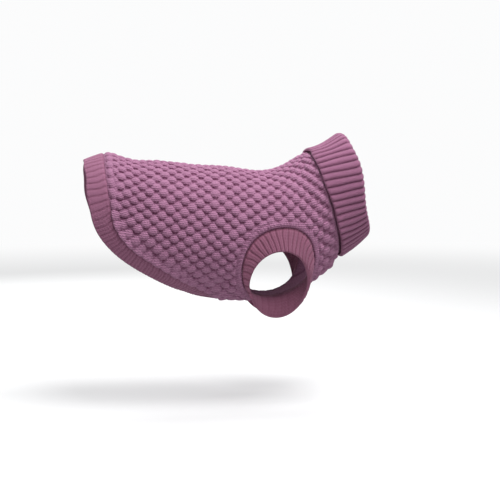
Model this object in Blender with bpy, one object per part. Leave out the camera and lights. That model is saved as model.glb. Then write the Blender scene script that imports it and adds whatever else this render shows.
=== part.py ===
"""Knitted roll-neck jumper for a small dog, in its worn shape and with nobody in it.

Metres, +Z up. +X points to the head, -Y is the jumper's right side, and the origin lies on the middle of
the back, at the withers. Sizes in the tables are millimetres and degrees.

A place on the body is given by two numbers. `along` is the distance from the tail edge, measured down
the middle of the tube. `around` is the angle from the back line: 0 on the back, +90 on the right flank,
-90 on the left flank and 180 on the belly. Every piece is a closed wall of real thickness.
"""

import math
from collections import namedtuple

import bpy
import numpy as np
from mathutils.geometry import delaunay_2d_cdt

MM = 0.001

WALL = 3.0
SEAM_GAP = 0.3
RIB_HEIGHT = 1.3
# Spacing of the panels' inner points, and the radius that turns an angle into a length on a flat panel.
PANEL_PITCH = 10.0
MEAN_RADIUS = 71.0
# An inner point stays this share of the pitch away from the panel's edge.
EDGE_CLEARANCE = 0.5
# A column of the hem nearer than this angle to the side seam is left out of the panel's edge, in radians.
CORNER_MARGIN = 0.03
# Length of one step of a straight walk over the body, and the points that measure the hem seam's length.
WALK_STEP = 3.0
LENGTH_SAMPLES = 2001
SHARP_ANGLE = 50.0

# The body's cross-sections from tail to neck. Each is an oval that stands between a point of the back
# line and one of the belly line.
Section = namedtuple("Section", "back_x back_z belly_x belly_z half_width")
BODY_SECTIONS = (
    Section(-212.6, 11.8, -203.5, -107.8, 55.0),
    Section(-188.1, 19.3, -184.9, -121.2, 58.0),
    Section(-157.7, 13.4, -156.6, -132.4, 60.0),
    Section(-122.4, 11.0, -121.0, -141.5, 61.5),
    Section(-79.6, 6.2, -79.0, -149.5, 63.0),
    Section(-43.6, 4.3, -41.4, -155.1, 64.5),
    Section(-14.6, 0.0, -9.7, -156.4, 65.0),
    Section(7.3, 0.0, 16.1, -154.5, 64.5),
    Section(26.8, 6.5, 43.3, -145.2, 62.5),
    Section(44.0, 16.1, 71.8, -125.6, 59.0),
    Section(49.8, 19.0, 83.0, -112.4, 57.5),
    Section(55.0, 20.9, 93.4, -100.2, 56.0),
)
# How much wider the oval is above its middle than below, and how much fuller than an ellipse.
SHOULDER_SHARE = 0.08
FULLNESS = 0.03

# The collar's inner tube from the neck seam to the fold, in the same columns.
COLLAR_SECTIONS = (
    Section(55.0, 20.9, 93.4, -100.2, 56.0),
    Section(73.5, 31.0, 109.0, -89.8, 56.5),
    Section(94.3, 38.5, 122.8, -77.2, 57.0),
)

# Where the hem seam crosses the body. Both flanks are alike.
HemPoint = namedtuple("HemPoint", "around along")
HEM_SEAM = (
    HemPoint(0.0, 21.0),
    HemPoint(44.0, 21.0),
    HemPoint(60.0, 22.3),
    HemPoint(83.0, 26.0),
    HemPoint(98.0, 33.5),
    HemPoint(108.0, 45.5),
    HemPoint(115.0, 59.5),
    HemPoint(124.0, 82.5),
    HemPoint(139.0, 118.0),
    HemPoint(148.5, 137.0),
    HemPoint(158.0, 151.5),
    HemPoint(168.0, 160.0),
    HemPoint(180.0, 163.0),
)
HEM_RIBS = 75
HEM_COLUMNS = HEM_RIBS * 2
HEM_WIDTH = 24.0

# The rings of a ribbed wall: how far down the wall each lies and how much of the rib's height it has.
Ring = namedtuple("Ring", "place rib_share")
HEM_OUTER_RINGS = (
    Ring(SEAM_GAP, 0.0),
    Ring(3.0, 1.0),
    Ring(HEM_WIDTH / 2, 1.0),
    Ring(HEM_WIDTH - 2.0, 1.0),
    Ring(HEM_WIDTH, 0.35),
)
HEM_INNER_PLACES = (HEM_WIDTH, HEM_WIDTH / 2, SEAM_GAP)

# The panels meet along a line under each flank.
SIDE_SEAM_AROUND = 150.0

# The armhole is an oval on the body, centred low on the flank.
ARMHOLE_ALONG = 220.0
ARMHOLE_AROUND = 120.0
ARMHOLE_HALF_LENGTH = 42.5
ARMHOLE_HALF_AROUND = 38.4

# The cuff's free edge is a tilted oval. Its rise runs from the middle to the outermost, highest point.
CUFF_RIBS = 34
CUFF_COLUMNS = CUFF_RIBS * 3
CUFF_CENTRE = (13.0, 47.0, -134.0)
CUFF_HALF_LENGTH = 35.5
CUFF_RISE_OUT = 21.0
CUFF_RISE_UP = 41.0
# How far along the cuff its bend lies, and the least lean into the armhole where it leaves the body.
CUFF_BEND = 0.45
CUFF_LEAST_LEAN = 0.35
# A place here is a share of the way from the armhole to the free edge.
CUFF_OUTER_RINGS = (Ring(0.1, 0.0), Ring(0.3, 1.0), Ring(0.92, 1.0), Ring(1.0, 0.35))
CUFF_INNER_PLACES = (1.0, 0.5, 0.1)

# The collar folds over `COLLAR_DEPTH` from the neck seam, and its free edge laps past that seam.
COLLAR_RIBS = 42
COLLAR_COLUMNS = COLLAR_RIBS * 3
COLLAR_DEPTH = 38.0
COLLAR_LAYER_GAP = 2.0
COLLAR_LAP = 3.0
COLLAR_LAP_RIB_SHARE = 0.4
# Rings over the fold. A place here is the angle turned, in degrees, from the outside towards the inside.
COLLAR_FOLD_RINGS = (Ring(30.0, 0.9), Ring(75.0, 0.6), Ring(120.0, 0.25))

# Where the fold stands higher or lower than that round the neck.
EdgeWave = namedtuple("EdgeWave", "around half_width height")
COLLAR_EDGE_WAVES = (
    EdgeWave(114.0, 24.0, -3.6),
    EdgeWave(62.0, 26.0, 0.9),
    EdgeWave(-106.0, 28.0, -3.0),
    EdgeWave(-150.0, 24.0, 0.8),
)

# Folds and stretch lines of the worn cloth. `turn` is the fold's angle from the body's length, towards
# the belly, and a negative height is a trough.
Fold = namedtuple("Fold", "along around turn half_length half_width height")
FOLDS = (
    Fold(150.0, 137.0, -38.0, 36.0, 7.5, -2.4),
    Fold(144.0, 120.0, -54.0, 36.0, 8.0, -2.0),
    Fold(160.0, 102.0, -62.0, 26.0, 8.0, 1.6),
    Fold(277.0, 112.0, -20.0, 15.0, 6.5, -1.6),
    Fold(279.0, 134.0, 14.0, 14.0, 6.5, -1.6),
    Fold(266.0, 92.0, -55.0, 20.0, 8.0, 1.4),
    Fold(283.0, 180.0, 90.0, 42.0, 7.5, 4.2),
    Fold(26.0, 4.0, 88.0, 34.0, 7.5, 1.6),
    Fold(62.0, 100.0, -40.0, 30.0, 10.0, 1.6),
    Fold(148.0, -134.0, 40.0, 34.0, 7.5, -2.2),
    Fold(146.0, -117.0, 56.0, 36.0, 8.0, -2.0),
    Fold(164.0, -100.0, 58.0, 26.0, 8.0, 1.5),
    Fold(275.0, -118.0, 16.0, 15.0, 6.5, -1.7),
    Fold(280.0, -136.0, -16.0, 14.0, 6.5, -1.5),
    Fold(264.0, -94.0, 52.0, 21.0, 8.0, 1.4),
    Fold(70.0, -97.0, 44.0, 32.0, 10.0, 1.6),
)


def spline_through(knots, rows):
    """Natural cubic through the rows, one curve for each column, as a function of the knot value."""
    knots = np.asarray(knots, float)
    rows = np.asarray(rows, float)
    spans = np.diff(knots)
    last = len(knots) - 1
    slopes = np.diff(rows, axis=0) / spans[:, None]
    matrix = np.eye(last + 1)
    wanted = np.zeros_like(rows)
    for i in range(1, last):
        matrix[i, i - 1 : i + 2] = spans[i - 1], 2 * (spans[i - 1] + spans[i]), spans[i]
        wanted[i] = 6 * (slopes[i] - slopes[i - 1])
    bends = np.linalg.solve(matrix, wanted)

    def value(at):
        at = np.asarray(at, float)
        i = np.clip(np.searchsorted(knots, at) - 1, 0, last - 1)
        span = spans[i][..., None]
        low = (knots[i + 1] - at)[..., None] / span
        high = 1 - low
        bend = (low**3 - low) * bends[i] + (high**3 - high) * bends[i + 1]
        return low * rows[i] + high * rows[i + 1] + bend * span**2 / 6

    return value


def stations(sections):
    """Distance of each section from the first, down the middle of the tube."""
    table = np.array(sections)
    middles = (table[:, 0:2] + table[:, 2:4]) / 2
    return np.concatenate([[0.0], np.cumsum(np.linalg.norm(np.diff(middles, axis=0), axis=1))])


def oval_point(measures, around):
    """Point on an oval section at the angle `around`, in radians."""
    back_x, back_z, belly_x, belly_z, half_width = np.moveaxis(measures, -1, 0)
    rise = np.cos(around)
    side = np.sin(around)
    fuller = 1 + FULLNESS * np.sin(2 * around) ** 2
    middle_x = (back_x + belly_x) / 2
    middle_z = (back_z + belly_z) / 2
    x = middle_x + (back_x - middle_x) * rise * fuller
    y = -half_width * (1 + SHOULDER_SHARE * rise) * side * fuller
    z = middle_z + (back_z - middle_z) * rise * fuller
    return np.stack([x, y, z], axis=-1)


BODY_STATIONS = stations(BODY_SECTIONS)
NECK_ALONG = BODY_STATIONS[-1]
body_measures = spline_through(BODY_STATIONS, BODY_SECTIONS)
COLLAR_STATIONS = stations(COLLAR_SECTIONS)
collar_measures = spline_through(COLLAR_STATIONS / COLLAR_STATIONS[-1] * COLLAR_DEPTH, COLLAR_SECTIONS)


def smooth_body(along, around):
    """The body's outside, before its folds."""
    along, around = np.broadcast_arrays(along, around)
    return oval_point(body_measures(along), around)


def collar_tube(along, around):
    """The outside of the collar's inner tube, `along` from the neck seam."""
    along, around = np.broadcast_arrays(along, around)
    return oval_point(collar_measures(along), around)


def tangents(surface, along, around):
    """How fast the surface moves with each of its two numbers."""
    small_step, small_turn = 0.2, 0.002
    by_along = surface(along + small_step, around) - surface(along - small_step, around)
    by_around = surface(along, around + small_turn) - surface(along, around - small_turn)
    return by_along / (2 * small_step), by_around / (2 * small_turn)


def unit(vectors):
    return vectors / np.linalg.norm(vectors, axis=-1, keepdims=True)


def normals(surface, along, around):
    """Unit normals that point out of the tube."""
    by_along, by_around = tangents(surface, along, around)
    return unit(np.cross(by_around, by_along))


def turned_from(around, centre_degrees):
    """Angle from a centre to `around`, the short way, in radians."""
    return (around - math.radians(centre_degrees) + math.pi) % (2 * math.pi) - math.pi


def fold_height(along, around):
    """Sum of the folds, each a soft ridge or trough that fades towards its ends."""
    total = np.zeros(np.broadcast(along, around).shape)
    for fold in FOLDS:
        turned = turned_from(around, fold.around)
        down = turned * math.copysign(MEAN_RADIUS, fold.around)
        forward = along - fold.along
        turn = math.radians(math.copysign(fold.turn, fold.turn * fold.around))
        lengthwise = forward * math.cos(turn) + down * math.sin(turn)
        across = down * math.cos(turn) - forward * math.sin(turn)
        fade = (lengthwise / fold.half_length) ** 2 + (across / fold.half_width) ** 2
        total = total + fold.height * np.exp(-fade)
    return total


def body(along, around):
    """The body's outside with its folds."""
    along, around = np.broadcast_arrays(np.asarray(along, float), np.asarray(around, float))
    height = fold_height(along, around)[..., None]
    return smooth_body(along, around) + height * normals(smooth_body, along, around)


def walk(along, around, heading, distance):
    """Where a straight line on the body ends, from each place, in the heading given."""
    steps = max(1, math.ceil(distance / WALK_STEP))
    for _ in range(steps):
        by_along, by_around = tangents(smooth_body, along, around)
        out = unit(np.cross(by_along, by_around))
        heading = unit(heading - (heading * out).sum(-1, keepdims=True) * out)
        aa = (by_along * by_along).sum(-1)
        ab = (by_along * by_around).sum(-1)
        bb = (by_around * by_around).sum(-1)
        toward_along = (heading * by_along).sum(-1)
        toward_around = (heading * by_around).sum(-1)
        determinant = aa * bb - ab * ab
        along = along + (toward_along * bb - toward_around * ab) / determinant * distance / steps
        around = around + (toward_around * aa - toward_along * ab) / determinant * distance / steps
    return along, around


def hem_spline():
    """The hem seam's `along` for each `around`, level where it crosses the back and the belly."""
    before = [HemPoint(-point.around, point.along) for point in HEM_SEAM[2:0:-1]]
    after = [HemPoint(360 - point.around, point.along) for point in HEM_SEAM[-2:-4:-1]]
    table = np.array(before + list(HEM_SEAM) + after)
    return spline_through(np.radians(table[:, 0]), table[:, 1:])


hem_curve = hem_spline()


def hem_along(around):
    """`along` of the hem seam at any angle."""
    return hem_curve(np.abs(turned_from(np.asarray(around, float), 0.0)))[..., 0]


def even_hem_angles(count):
    """Angles that cut the hem seam into `count` equal lengths, starting on the back."""
    fine = np.linspace(0, 2 * math.pi, LENGTH_SAMPLES)
    points = smooth_body(hem_along(fine), fine)
    lengths = np.concatenate([[0.0], np.cumsum(np.linalg.norm(np.diff(points, axis=0), axis=1))])
    wanted = np.linspace(0, lengths[-1], count, endpoint=False)
    return np.interp(wanted, lengths, fine)


def armhole(turn, side):
    """(along, around) on the armhole's edge. Turn 0 is its front end and 90 degrees its top."""
    along = ARMHOLE_ALONG + ARMHOLE_HALF_LENGTH * np.cos(turn)
    around = ARMHOLE_AROUND - ARMHOLE_HALF_AROUND * np.sin(turn)
    return along, side * np.radians(around)


def rib_wave(columns, ribs):
    """0 in each groove and near 1 over each rib, at evenly counted columns round the piece."""
    phase = 2 * math.pi * np.arange(columns) * ribs / columns
    return (0.5 - 0.5 * np.cos(phase))[:, None]


def add_object(name, points, faces, colour, roughness):
    """A named mesh object in metres, from points in millimetres, with its own material."""
    mesh = bpy.data.meshes.new(name)
    mesh.from_pydata((np.asarray(points) * MM).tolist(), [], [tuple(face) for face in faces])
    mesh.validate()
    mesh.update()
    mesh.shade_smooth()
    mesh.set_sharp_from_angle(angle=math.radians(SHARP_ANGLE))
    material = bpy.data.materials.new(name)
    material.use_nodes = True
    shader = material.node_tree.nodes["Principled BSDF"]
    shader.inputs["Base Color"].default_value = (*colour, 1.0)
    shader.inputs["Roughness"].default_value = roughness
    shader.inputs["Metallic"].default_value = 0.0
    mesh.materials.append(material)
    item = bpy.data.objects.new(name, mesh)
    bpy.context.scene.collection.objects.link(item)
    return item


BOBBLE_PINK = (0.42, 0.19, 0.33)
RIB_PINK = (0.38, 0.155, 0.27)
KNIT_ROUGHNESS = 0.95


def add_ring_wall(name, loops):
    """A closed ring from loops[profile][column], whose profile closes on itself."""
    loops = np.asarray(loops)
    profile_count, column_count = loops.shape[:2]
    centre = loops.mean(axis=(0, 1))
    faces = []
    for i in range(profile_count):
        following = (i + 1) % profile_count
        for j in range(column_count):
            beside = (j + 1) % column_count
            faces.append(
                (
                    i * column_count + j,
                    i * column_count + beside,
                    following * column_count + beside,
                    following * column_count + j,
                )
            )
    points = loops.reshape(-1, 3)
    corners = points[np.array(faces)] - centre
    signed = np.einsum("ij,ij->i", corners[:, 0], np.cross(corners[:, 1], corners[:, 2])).sum()
    signed += np.einsum("ij,ij->i", corners[:, 0], np.cross(corners[:, 2], corners[:, 3])).sum()
    if signed < 0:
        faces = [face[::-1] for face in faces]
    return add_object(name, points, faces, RIB_PINK, KNIT_ROUGHNESS)


def make_hem():
    """Rib band that runs from the hem seam towards the tail, all round the body opening."""
    around = even_hem_angles(HEM_COLUMNS)
    ribs = rib_wave(HEM_COLUMNS, HEM_RIBS)
    along = hem_along(around)
    seam = smooth_body(along, around)
    direction = np.roll(seam, -1, axis=0) - np.roll(seam, 1, axis=0)
    heading = np.cross(direction, normals(smooth_body, along, around))
    loops = []
    for ring in HEM_OUTER_RINGS:
        place = walk(along, around, heading, ring.place)
        loops.append(body(*place) + RIB_HEIGHT * ring.rib_share * ribs * normals(body, *place))
    for distance in HEM_INNER_PLACES:
        place = walk(along, around, heading, distance)
        loops.append(body(*place) - WALL * normals(body, *place))
    return add_ring_wall("hem_band", loops)


def collar_layer(along, around, raised):
    """A loop of the collar, `raised` above the inner tube's outside."""
    return collar_tube(along, around) + raised * normals(collar_tube, along, around)


def collar_fold_along(around):
    """`along` of the collar's fold from the neck seam, which waves a little round the neck."""
    depth = np.full(np.shape(around), COLLAR_DEPTH)
    for wave in COLLAR_EDGE_WAVES:
        share = turned_from(around, wave.around) / math.radians(wave.half_width)
        depth += wave.height * np.exp(-(share**2))
    return depth


def make_collar():
    """Rib tube that rises from the neck seam, turns over at its fold and lies back over the seam."""
    around = 2 * math.pi * np.arange(COLLAR_COLUMNS) / COLLAR_COLUMNS
    ribs = rib_wave(COLLAR_COLUMNS, COLLAR_RIBS)
    under = COLLAR_LAYER_GAP
    top = COLLAR_LAYER_GAP + WALL
    middle = (top - WALL) / 2
    radius = (top + WALL) / 2
    fold = collar_fold_along(around)
    loops = [collar_layer(-COLLAR_LAP, around, top + RIB_HEIGHT * COLLAR_LAP_RIB_SHARE * ribs)]
    for along in (0.0, fold / 2, fold - 1.0):
        loops.append(collar_layer(along, around, top + RIB_HEIGHT * ribs))
    for ring in COLLAR_FOLD_RINGS:
        angle = math.radians(ring.place)
        reach = radius + RIB_HEIGHT * ring.rib_share * ribs
        place = fold + radius * math.sin(angle)
        loops.append(collar_layer(place, around, middle + reach * math.cos(angle)))
    for along in (fold, fold / 2, SEAM_GAP):
        loops.append(collar_layer(along, around, -WALL))
    for along in (SEAM_GAP, fold / 2, fold):
        loops.append(collar_layer(along, around, 0.0))
    loops.append(collar_layer(fold + under / 2, around, middle))
    for along in (fold, fold / 2, -COLLAR_LAP):
        loops.append(collar_layer(along, around, under))
    return add_ring_wall("roll_collar", loops)


def make_cuff(name, side):
    """Short rib sleeve from the armhole's edge down to its free edge round the leg."""
    turn = 2 * math.pi * np.arange(CUFF_COLUMNS) / CUFF_COLUMNS
    along, around = armhole(turn, side)
    edge = smooth_body(along, around)
    direction = np.roll(edge, -1, axis=0) - np.roll(edge, 1, axis=0)
    inward = -side * np.cross(direction, normals(smooth_body, along, around))
    start_place = walk(along, around, inward, SEAM_GAP)
    start = body(*start_place)
    start_normal = normals(body, *start_place)
    rise = np.array([0.0, -side * CUFF_RISE_OUT, CUFF_RISE_UP])
    length = np.array([CUFF_HALF_LENGTH, 0.0, 0.0])
    centre = np.array(CUFF_CENTRE) * (1, -side, 1)
    end = centre + np.cos(turn)[:, None] * length + np.sin(turn)[:, None] * rise
    inward = unit(inward)
    reach = np.linalg.norm(end - start, axis=-1, keepdims=True)
    into_hole = np.maximum(((end - start) * inward).sum(-1, keepdims=True), CUFF_LEAST_LEAN * reach)
    out_of_body = ((end - start) * start_normal).sum(-1, keepdims=True)
    leaving = unit(into_hole * inward + out_of_body * start_normal)
    control = start + CUFF_BEND * reach * leaving

    def skin(share):
        """The cuff's outside at a share of the way to its free edge, on a curve with one bend."""
        return (1 - share) ** 2 * start + 2 * share * (1 - share) * control + share**2 * end

    def skin_normal(share):
        down = skin(share + 0.01) - skin(share - 0.01)
        ring = np.roll(skin(share), -1, axis=0) - np.roll(skin(share), 1, axis=0)
        return side * unit(np.cross(ring, down))

    lift = RIB_HEIGHT * rib_wave(CUFF_COLUMNS, CUFF_RIBS)
    loops = [start]
    for ring in CUFF_OUTER_RINGS:
        loops.append(skin(ring.place) + ring.rib_share * lift * skin_normal(ring.place))
    for share in CUFF_INNER_PLACES:
        loops.append(skin(share) - WALL * skin_normal(share))
    loops.append(start - WALL * start_normal)
    return add_ring_wall(name, loops)


def armhole_turns(low_turn, high_turn):
    """Every second cuff column between two turns, so that panel and cuff share their corners."""
    pitch = 2 * math.pi * 2 / CUFF_COLUMNS
    turns = pitch * np.arange(-CUFF_COLUMNS // 2, CUFF_COLUMNS // 2)
    margin = 0.4 * pitch
    return turns[(turns > low_turn + margin) & (turns < high_turn - margin)]


def seam_turns(seam_around):
    """Turns of the armhole where the side seam enters it, at its front and at its rear."""
    dip = math.asin((ARMHOLE_AROUND - math.degrees(seam_around)) / ARMHOLE_HALF_AROUND)
    return dip, math.pi - dip


def line(first, last, pitch):
    """Places from first to last, both included, about `pitch` apart."""
    count = max(2, round(abs(last - first) / pitch) + 1)
    return np.linspace(first, last, count)


def side_outline(offset, over_the_top):
    """Right side of a panel from its neck corner to its hem corner, as (along, around) rows."""
    seam = math.radians(SIDE_SEAM_AROUND)
    front, rear = seam_turns(seam)
    if over_the_top:
        turns = armhole_turns(front, rear)
    else:
        turns = armhole_turns(rear - 2 * math.pi, front)[::-1]
    before = line(NECK_ALONG, float(armhole(front, 1)[0]), PANEL_PITCH)
    after = line(float(armhole(rear, 1)[0]), float(hem_along(seam)), PANEL_PITCH)
    rows = [(along, seam + offset) for along in before]
    rows += list(zip(*armhole(turns, 1), strict=True))
    rows += [(along, seam + offset) for along in after]
    return rows


def fill_outline(outline, pitch):
    """Flat triangulation inside an outline of (along, around) rows, with evenly spread inner points."""
    flat = np.array(outline) * (1, MEAN_RADIUS)
    low, high = flat.min(axis=0), flat.max(axis=0)
    following = np.roll(flat, -1, axis=0)
    inner = []
    row_height = pitch * math.sqrt(0.75)
    middle = (low + high) / 2
    rows = math.ceil((high[1] - low[1]) / row_height / 2) + 1
    for row in range(-rows, rows + 1):
        y = middle[1] + row * row_height
        shift = pitch / 2 * (row % 2)
        for x in np.arange(low[0] + shift, high[0], pitch):
            point = np.array([x, y])
            edge = following - flat
            share = ((point - flat) * edge).sum(1) / (edge * edge).sum(1)
            nearest = flat + np.clip(share, 0, 1)[:, None] * edge
            crosses = (flat[:, 1] > y) != (following[:, 1] > y)
            with np.errstate(divide="ignore", invalid="ignore"):
                crossing = flat[:, 0] + (y - flat[:, 1]) * edge[:, 0] / edge[:, 1]
            inside = np.count_nonzero(crosses & (crossing > x)) % 2 == 1
            if inside and np.linalg.norm(nearest - point, axis=1).min() > EDGE_CLEARANCE * pitch:
                inner.append(point)
    points = [tuple(point) for point in flat] + [tuple(point) for point in inner]
    border = [(i, (i + 1) % len(flat)) for i in range(len(flat))]
    inside_only = 1
    found = delaunay_2d_cdt(points, border, [], inside_only, 1e-6)
    places = np.array([tuple(vector) for vector in found[0]]) / (1, MEAN_RADIUS)
    return places, [tuple(face) for face in found[2]]


def add_panel(name, outline):
    """A wall of cloth on the body inside an outline: outside, inside and the cut edge between them."""
    places, triangles = fill_outline(outline, PANEL_PITCH)
    outside = body(places[:, 0], places[:, 1])
    inside = outside - WALL * normals(body, places[:, 0], places[:, 1])
    count = len(places)
    edges = {}
    for a, b, c in triangles:
        for edge in ((a, b), (b, c), (c, a)):
            edges[edge] = True
    border = [(a, b) for a, b in edges if (b, a) not in edges]
    faces = list(triangles)
    faces += [(c + count, b + count, a + count) for a, b, c in triangles]
    # The cut edge's diagonals run the same way on both sides of a seam, so that the two edges stay parallel.
    for a, b in border:
        if places[a][0] <= places[b][0]:
            faces += [(b, a, b + count), (a, a + count, b + count)]
        else:
            faces += [(b, a, a + count), (b, a + count, b + count)]
    points = np.concatenate([outside, inside])
    a, b, c = (np.array(triangles)[:, k] for k in range(3))
    facing = np.cross(outside[b] - outside[a], outside[c] - outside[a])
    out = outside[a] - inside[a]
    if (facing * out).sum() < 0:
        faces = [face[::-1] for face in faces]
    return add_object(name, points, faces, BOBBLE_PINK, KNIT_ROUGHNESS)


def hem_outline(seam_around, across_back):
    """The panel's hem edge from its right corner to its left one, without the corners."""
    angles = even_hem_angles(HEM_COLUMNS)
    signed = turned_from(angles, 0.0)
    if across_back:
        kept = np.sort(signed[np.abs(signed) < seam_around - CORNER_MARGIN])[::-1]
    else:
        kept = np.sort(angles[np.abs(angles - math.pi) < math.pi - seam_around - CORNER_MARGIN])
    return [(float(hem_along(angle)), float(angle)) for angle in kept]


def make_back():
    """Back panel, over the back and down both flanks to the side seams."""
    offset = -SEAM_GAP / 2 / MEAN_RADIUS
    right = side_outline(offset, over_the_top=True)
    left = [(along, -around) for along, around in right[::-1]]
    seam = right[0][1]
    neck = [(NECK_ALONG, angle) for angle in line(-seam, seam, PANEL_PITCH / MEAN_RADIUS)[1:-1]]
    return add_panel("back_panel", right + hem_outline(seam, across_back=True) + left + neck)


def make_belly():
    """Belly panel, narrow between the front legs and wider behind them."""
    offset = SEAM_GAP / 2 / MEAN_RADIUS
    right = side_outline(offset, over_the_top=False)
    left = [(along, 2 * math.pi - around) for along, around in right[::-1]]
    seam = right[0][1]
    far_seam = 2 * math.pi - seam
    neck = [(NECK_ALONG, angle) for angle in line(far_seam, seam, PANEL_PITCH / MEAN_RADIUS)[1:-1]]
    return add_panel("belly_panel", right + hem_outline(seam, across_back=False) + left + neck)


def clear_scene():
    for item in list(bpy.data.objects):
        bpy.data.objects.remove(item, do_unlink=True)


def main():
    clear_scene()
    make_back()
    make_belly()
    make_collar()
    make_hem()
    make_cuff("cuff_right", 1)
    make_cuff("cuff_left", -1)


main()
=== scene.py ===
"""Looks of a knitted roll-neck jumper for a small dog, in its worn hollow shape.

The frame's solids say where each piece of the jumper lies. Here each solid is replaced by a fine knitted
shell on the same form: bobbles, ribs, seam grooves and drag lines are real relief, and single stitches are
bump. Their shade is also painted into the yarn's colour. Sizes are millimetres and degrees where nothing
else is said. The axes are the frame's: +X to the head, +Z up, -Y the right side, origin on the back at the
withers.

A place on the body is `along`, the distance from the tail edge down the middle of the tube, and `around`,
the angle from the back line: 0 on the back, +90 on the right flank and 180 on the belly.
"""

import math
from collections import namedtuple

import bpy
import numpy as np
from mathutils import Matrix
from mathutils.geometry import delaunay_2d_cdt


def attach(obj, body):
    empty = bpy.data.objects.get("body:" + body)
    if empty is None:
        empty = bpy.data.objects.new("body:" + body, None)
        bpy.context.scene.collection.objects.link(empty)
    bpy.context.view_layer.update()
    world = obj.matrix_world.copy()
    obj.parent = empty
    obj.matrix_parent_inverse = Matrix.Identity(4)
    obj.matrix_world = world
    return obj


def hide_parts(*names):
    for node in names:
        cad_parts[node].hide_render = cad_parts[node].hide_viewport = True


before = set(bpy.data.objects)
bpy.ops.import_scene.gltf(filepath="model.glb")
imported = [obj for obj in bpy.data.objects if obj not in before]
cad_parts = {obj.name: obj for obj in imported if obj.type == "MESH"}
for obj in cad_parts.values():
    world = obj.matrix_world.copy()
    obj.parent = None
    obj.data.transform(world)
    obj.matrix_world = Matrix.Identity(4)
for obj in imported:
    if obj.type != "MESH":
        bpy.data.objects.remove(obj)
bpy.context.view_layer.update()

MM = 0.001
TURN = 2 * math.pi

# ---- sizes shared with the solids

WALL = 3.0
SEAM_GAP = 0.3
# Turns an angle round the body into a length on a flat panel.
MEAN_RADIUS = 71.0
# Step of a walk over the body, and the number of points that measure the hem seam's length.
WALK_STEP = 3.0
LENGTH_SAMPLES = 2001

# The body's cross-sections from tail to neck, each an oval between the back line and the belly line:
# back x and z, belly x and z, and half the width.
BODY_SECTIONS = (
    (-212.6, 11.8, -203.5, -107.8, 55),
    (-188.1, 19.3, -184.9, -121.2, 58),
    (-157.7, 13.4, -156.6, -132.4, 60),
    (-122.4, 11, -121, -141.5, 61.5),
    (-79.6, 6.2, -79, -149.5, 63),
    (-43.6, 4.3, -41.4, -155.1, 64.5),
    (-14.6, 0, -9.7, -156.4, 65),
    (7.3, 0, 16.1, -154.5, 64.5),
    (26.8, 6.5, 43.3, -145.2, 62.5),
    (44, 16.1, 71.8, -125.6, 59),
    (49.8, 19, 83, -112.4, 57.5),
    (55, 20.9, 93.4, -100.2, 56),
)
# How much wider the oval is above its middle than below, and how much fuller than an ellipse.
SHOULDER_SHARE = 0.08
FULLNESS = 0.03

# The collar's inner tube from the neck seam to the fold, in the same columns.
COLLAR_SECTIONS = (
    (55, 20.9, 93.4, -100.2, 56),
    (73.5, 31, 109, -89.8, 56.5),
    (94.3, 38.5, 122.8, -77.2, 57),
)

# Where the hem seam crosses the body. Both flanks are alike.
HEM_AROUND = (0, 44, 60, 83, 98, 108, 115, 124, 139, 148.5, 158, 168, 180)
HEM_ALONG = (21, 21, 22.3, 26, 33.5, 45.5, 59.5, 82.5, 118, 137, 151.5, 160, 163)
HEM_RIBS = 75
HEM_WIDTH = 24.0

SIDE_SEAM_AROUND = 150.0

ARMHOLE_ALONG = 220.0
ARMHOLE_AROUND = 120.0
ARMHOLE_HALF_LENGTH = 42.5
ARMHOLE_HALF_AROUND = 38.4

CUFF_RIBS = 34
CUFF_CENTRE = (13.0, 47.0, -134.0)
CUFF_HALF_LENGTH = 35.5
CUFF_RISE_OUT = 21.0
CUFF_RISE_UP = 41.0
CUFF_BEND = 0.45
CUFF_LEAST_LEAN = 0.35

COLLAR_DEPTH = 38.0
COLLAR_LAYER_GAP = 2.0
COLLAR_LAP = 3.0
# Where the fold stands higher or lower than that round the neck: the place, half-width and height.
COLLAR_EDGE_WAVES = ((114, 24, -3.6), (62, 26, 0.9), (-106, 28, -3), (-150, 24, 0.8))

# Folds and stretch lines, a row for each. `turn` is the angle from the body's length towards the belly, and
# a negative height is a trough.
Fold = namedtuple("Fold", "along around turn half_length half_width height")
MAIN_FOLDS = (
    (150, 137, -38, 36, 7.5, -2.4),
    (144, 120, -54, 36, 8, -2),
    (160, 102, -62, 26, 8, 1.6),
    (277, 112, -20, 15, 6.5, -1.6),
    (279, 134, 14, 14, 6.5, -1.6),
    (266, 92, -55, 20, 8, 1.4),
    (283, 180, 90, 42, 7.5, 4.2),
    (26, 4, 88, 34, 7.5, 1.6),
    (62, 100, -40, 30, 10, 1.6),
    (148, -134, 40, 34, 7.5, -2.2),
    (146, -117, 56, 36, 8, -2),
    (164, -100, 58, 26, 8, 1.5),
    (275, -118, 16, 15, 6.5, -1.7),
    (280, -136, -16, 14, 6.5, -1.5),
    (264, -94, 52, 21, 8, 1.4),
    (70, -97, 44, 32, 10, 1.6),
)

# Finer creases that are in the cloth but not in the solids.
SMALL_FOLDS = (
    (172, 147, -30, 17, 3.2, -0.9),
    (166, 129, -47, 22, 3.6, -1),
    (171, 112, -58, 16, 3.4, -0.9),
    (128, 140, -32, 24, 5, -0.7),
    (196, 74, 76, 15, 4.2, 0.7),
    (236, 70, -62, 14, 4, 0.7),
    (272, 76, -48, 13, 3.4, -0.8),
    (268, 102, -32, 11, 3, -0.7),
    (100, 60, 12, 40, 9, 0.6),
    (55, 72, -30, 22, 6, -0.6),
    (214, 30, 80, 26, 7, -0.7),
    (170, -144, 33, 18, 3.4, -0.9),
    (168, -126, 45, 20, 3.4, -0.9),
    (174, -109, 60, 15, 3.6, -0.8),
    (130, -138, 30, 22, 5, -0.7),
    (200, -75, -74, 15, 4, 0.7),
    (240, -71, 60, 13, 4.2, 0.6),
    (270, -80, 46, 14, 3.6, -0.8),
    (92, -64, -15, 36, 9, 0.6),
    (60, -78, 28, 20, 6, -0.6),
    (208, -26, -82, 24, 7, -0.6),
)

# ---- sizes of the knit

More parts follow.
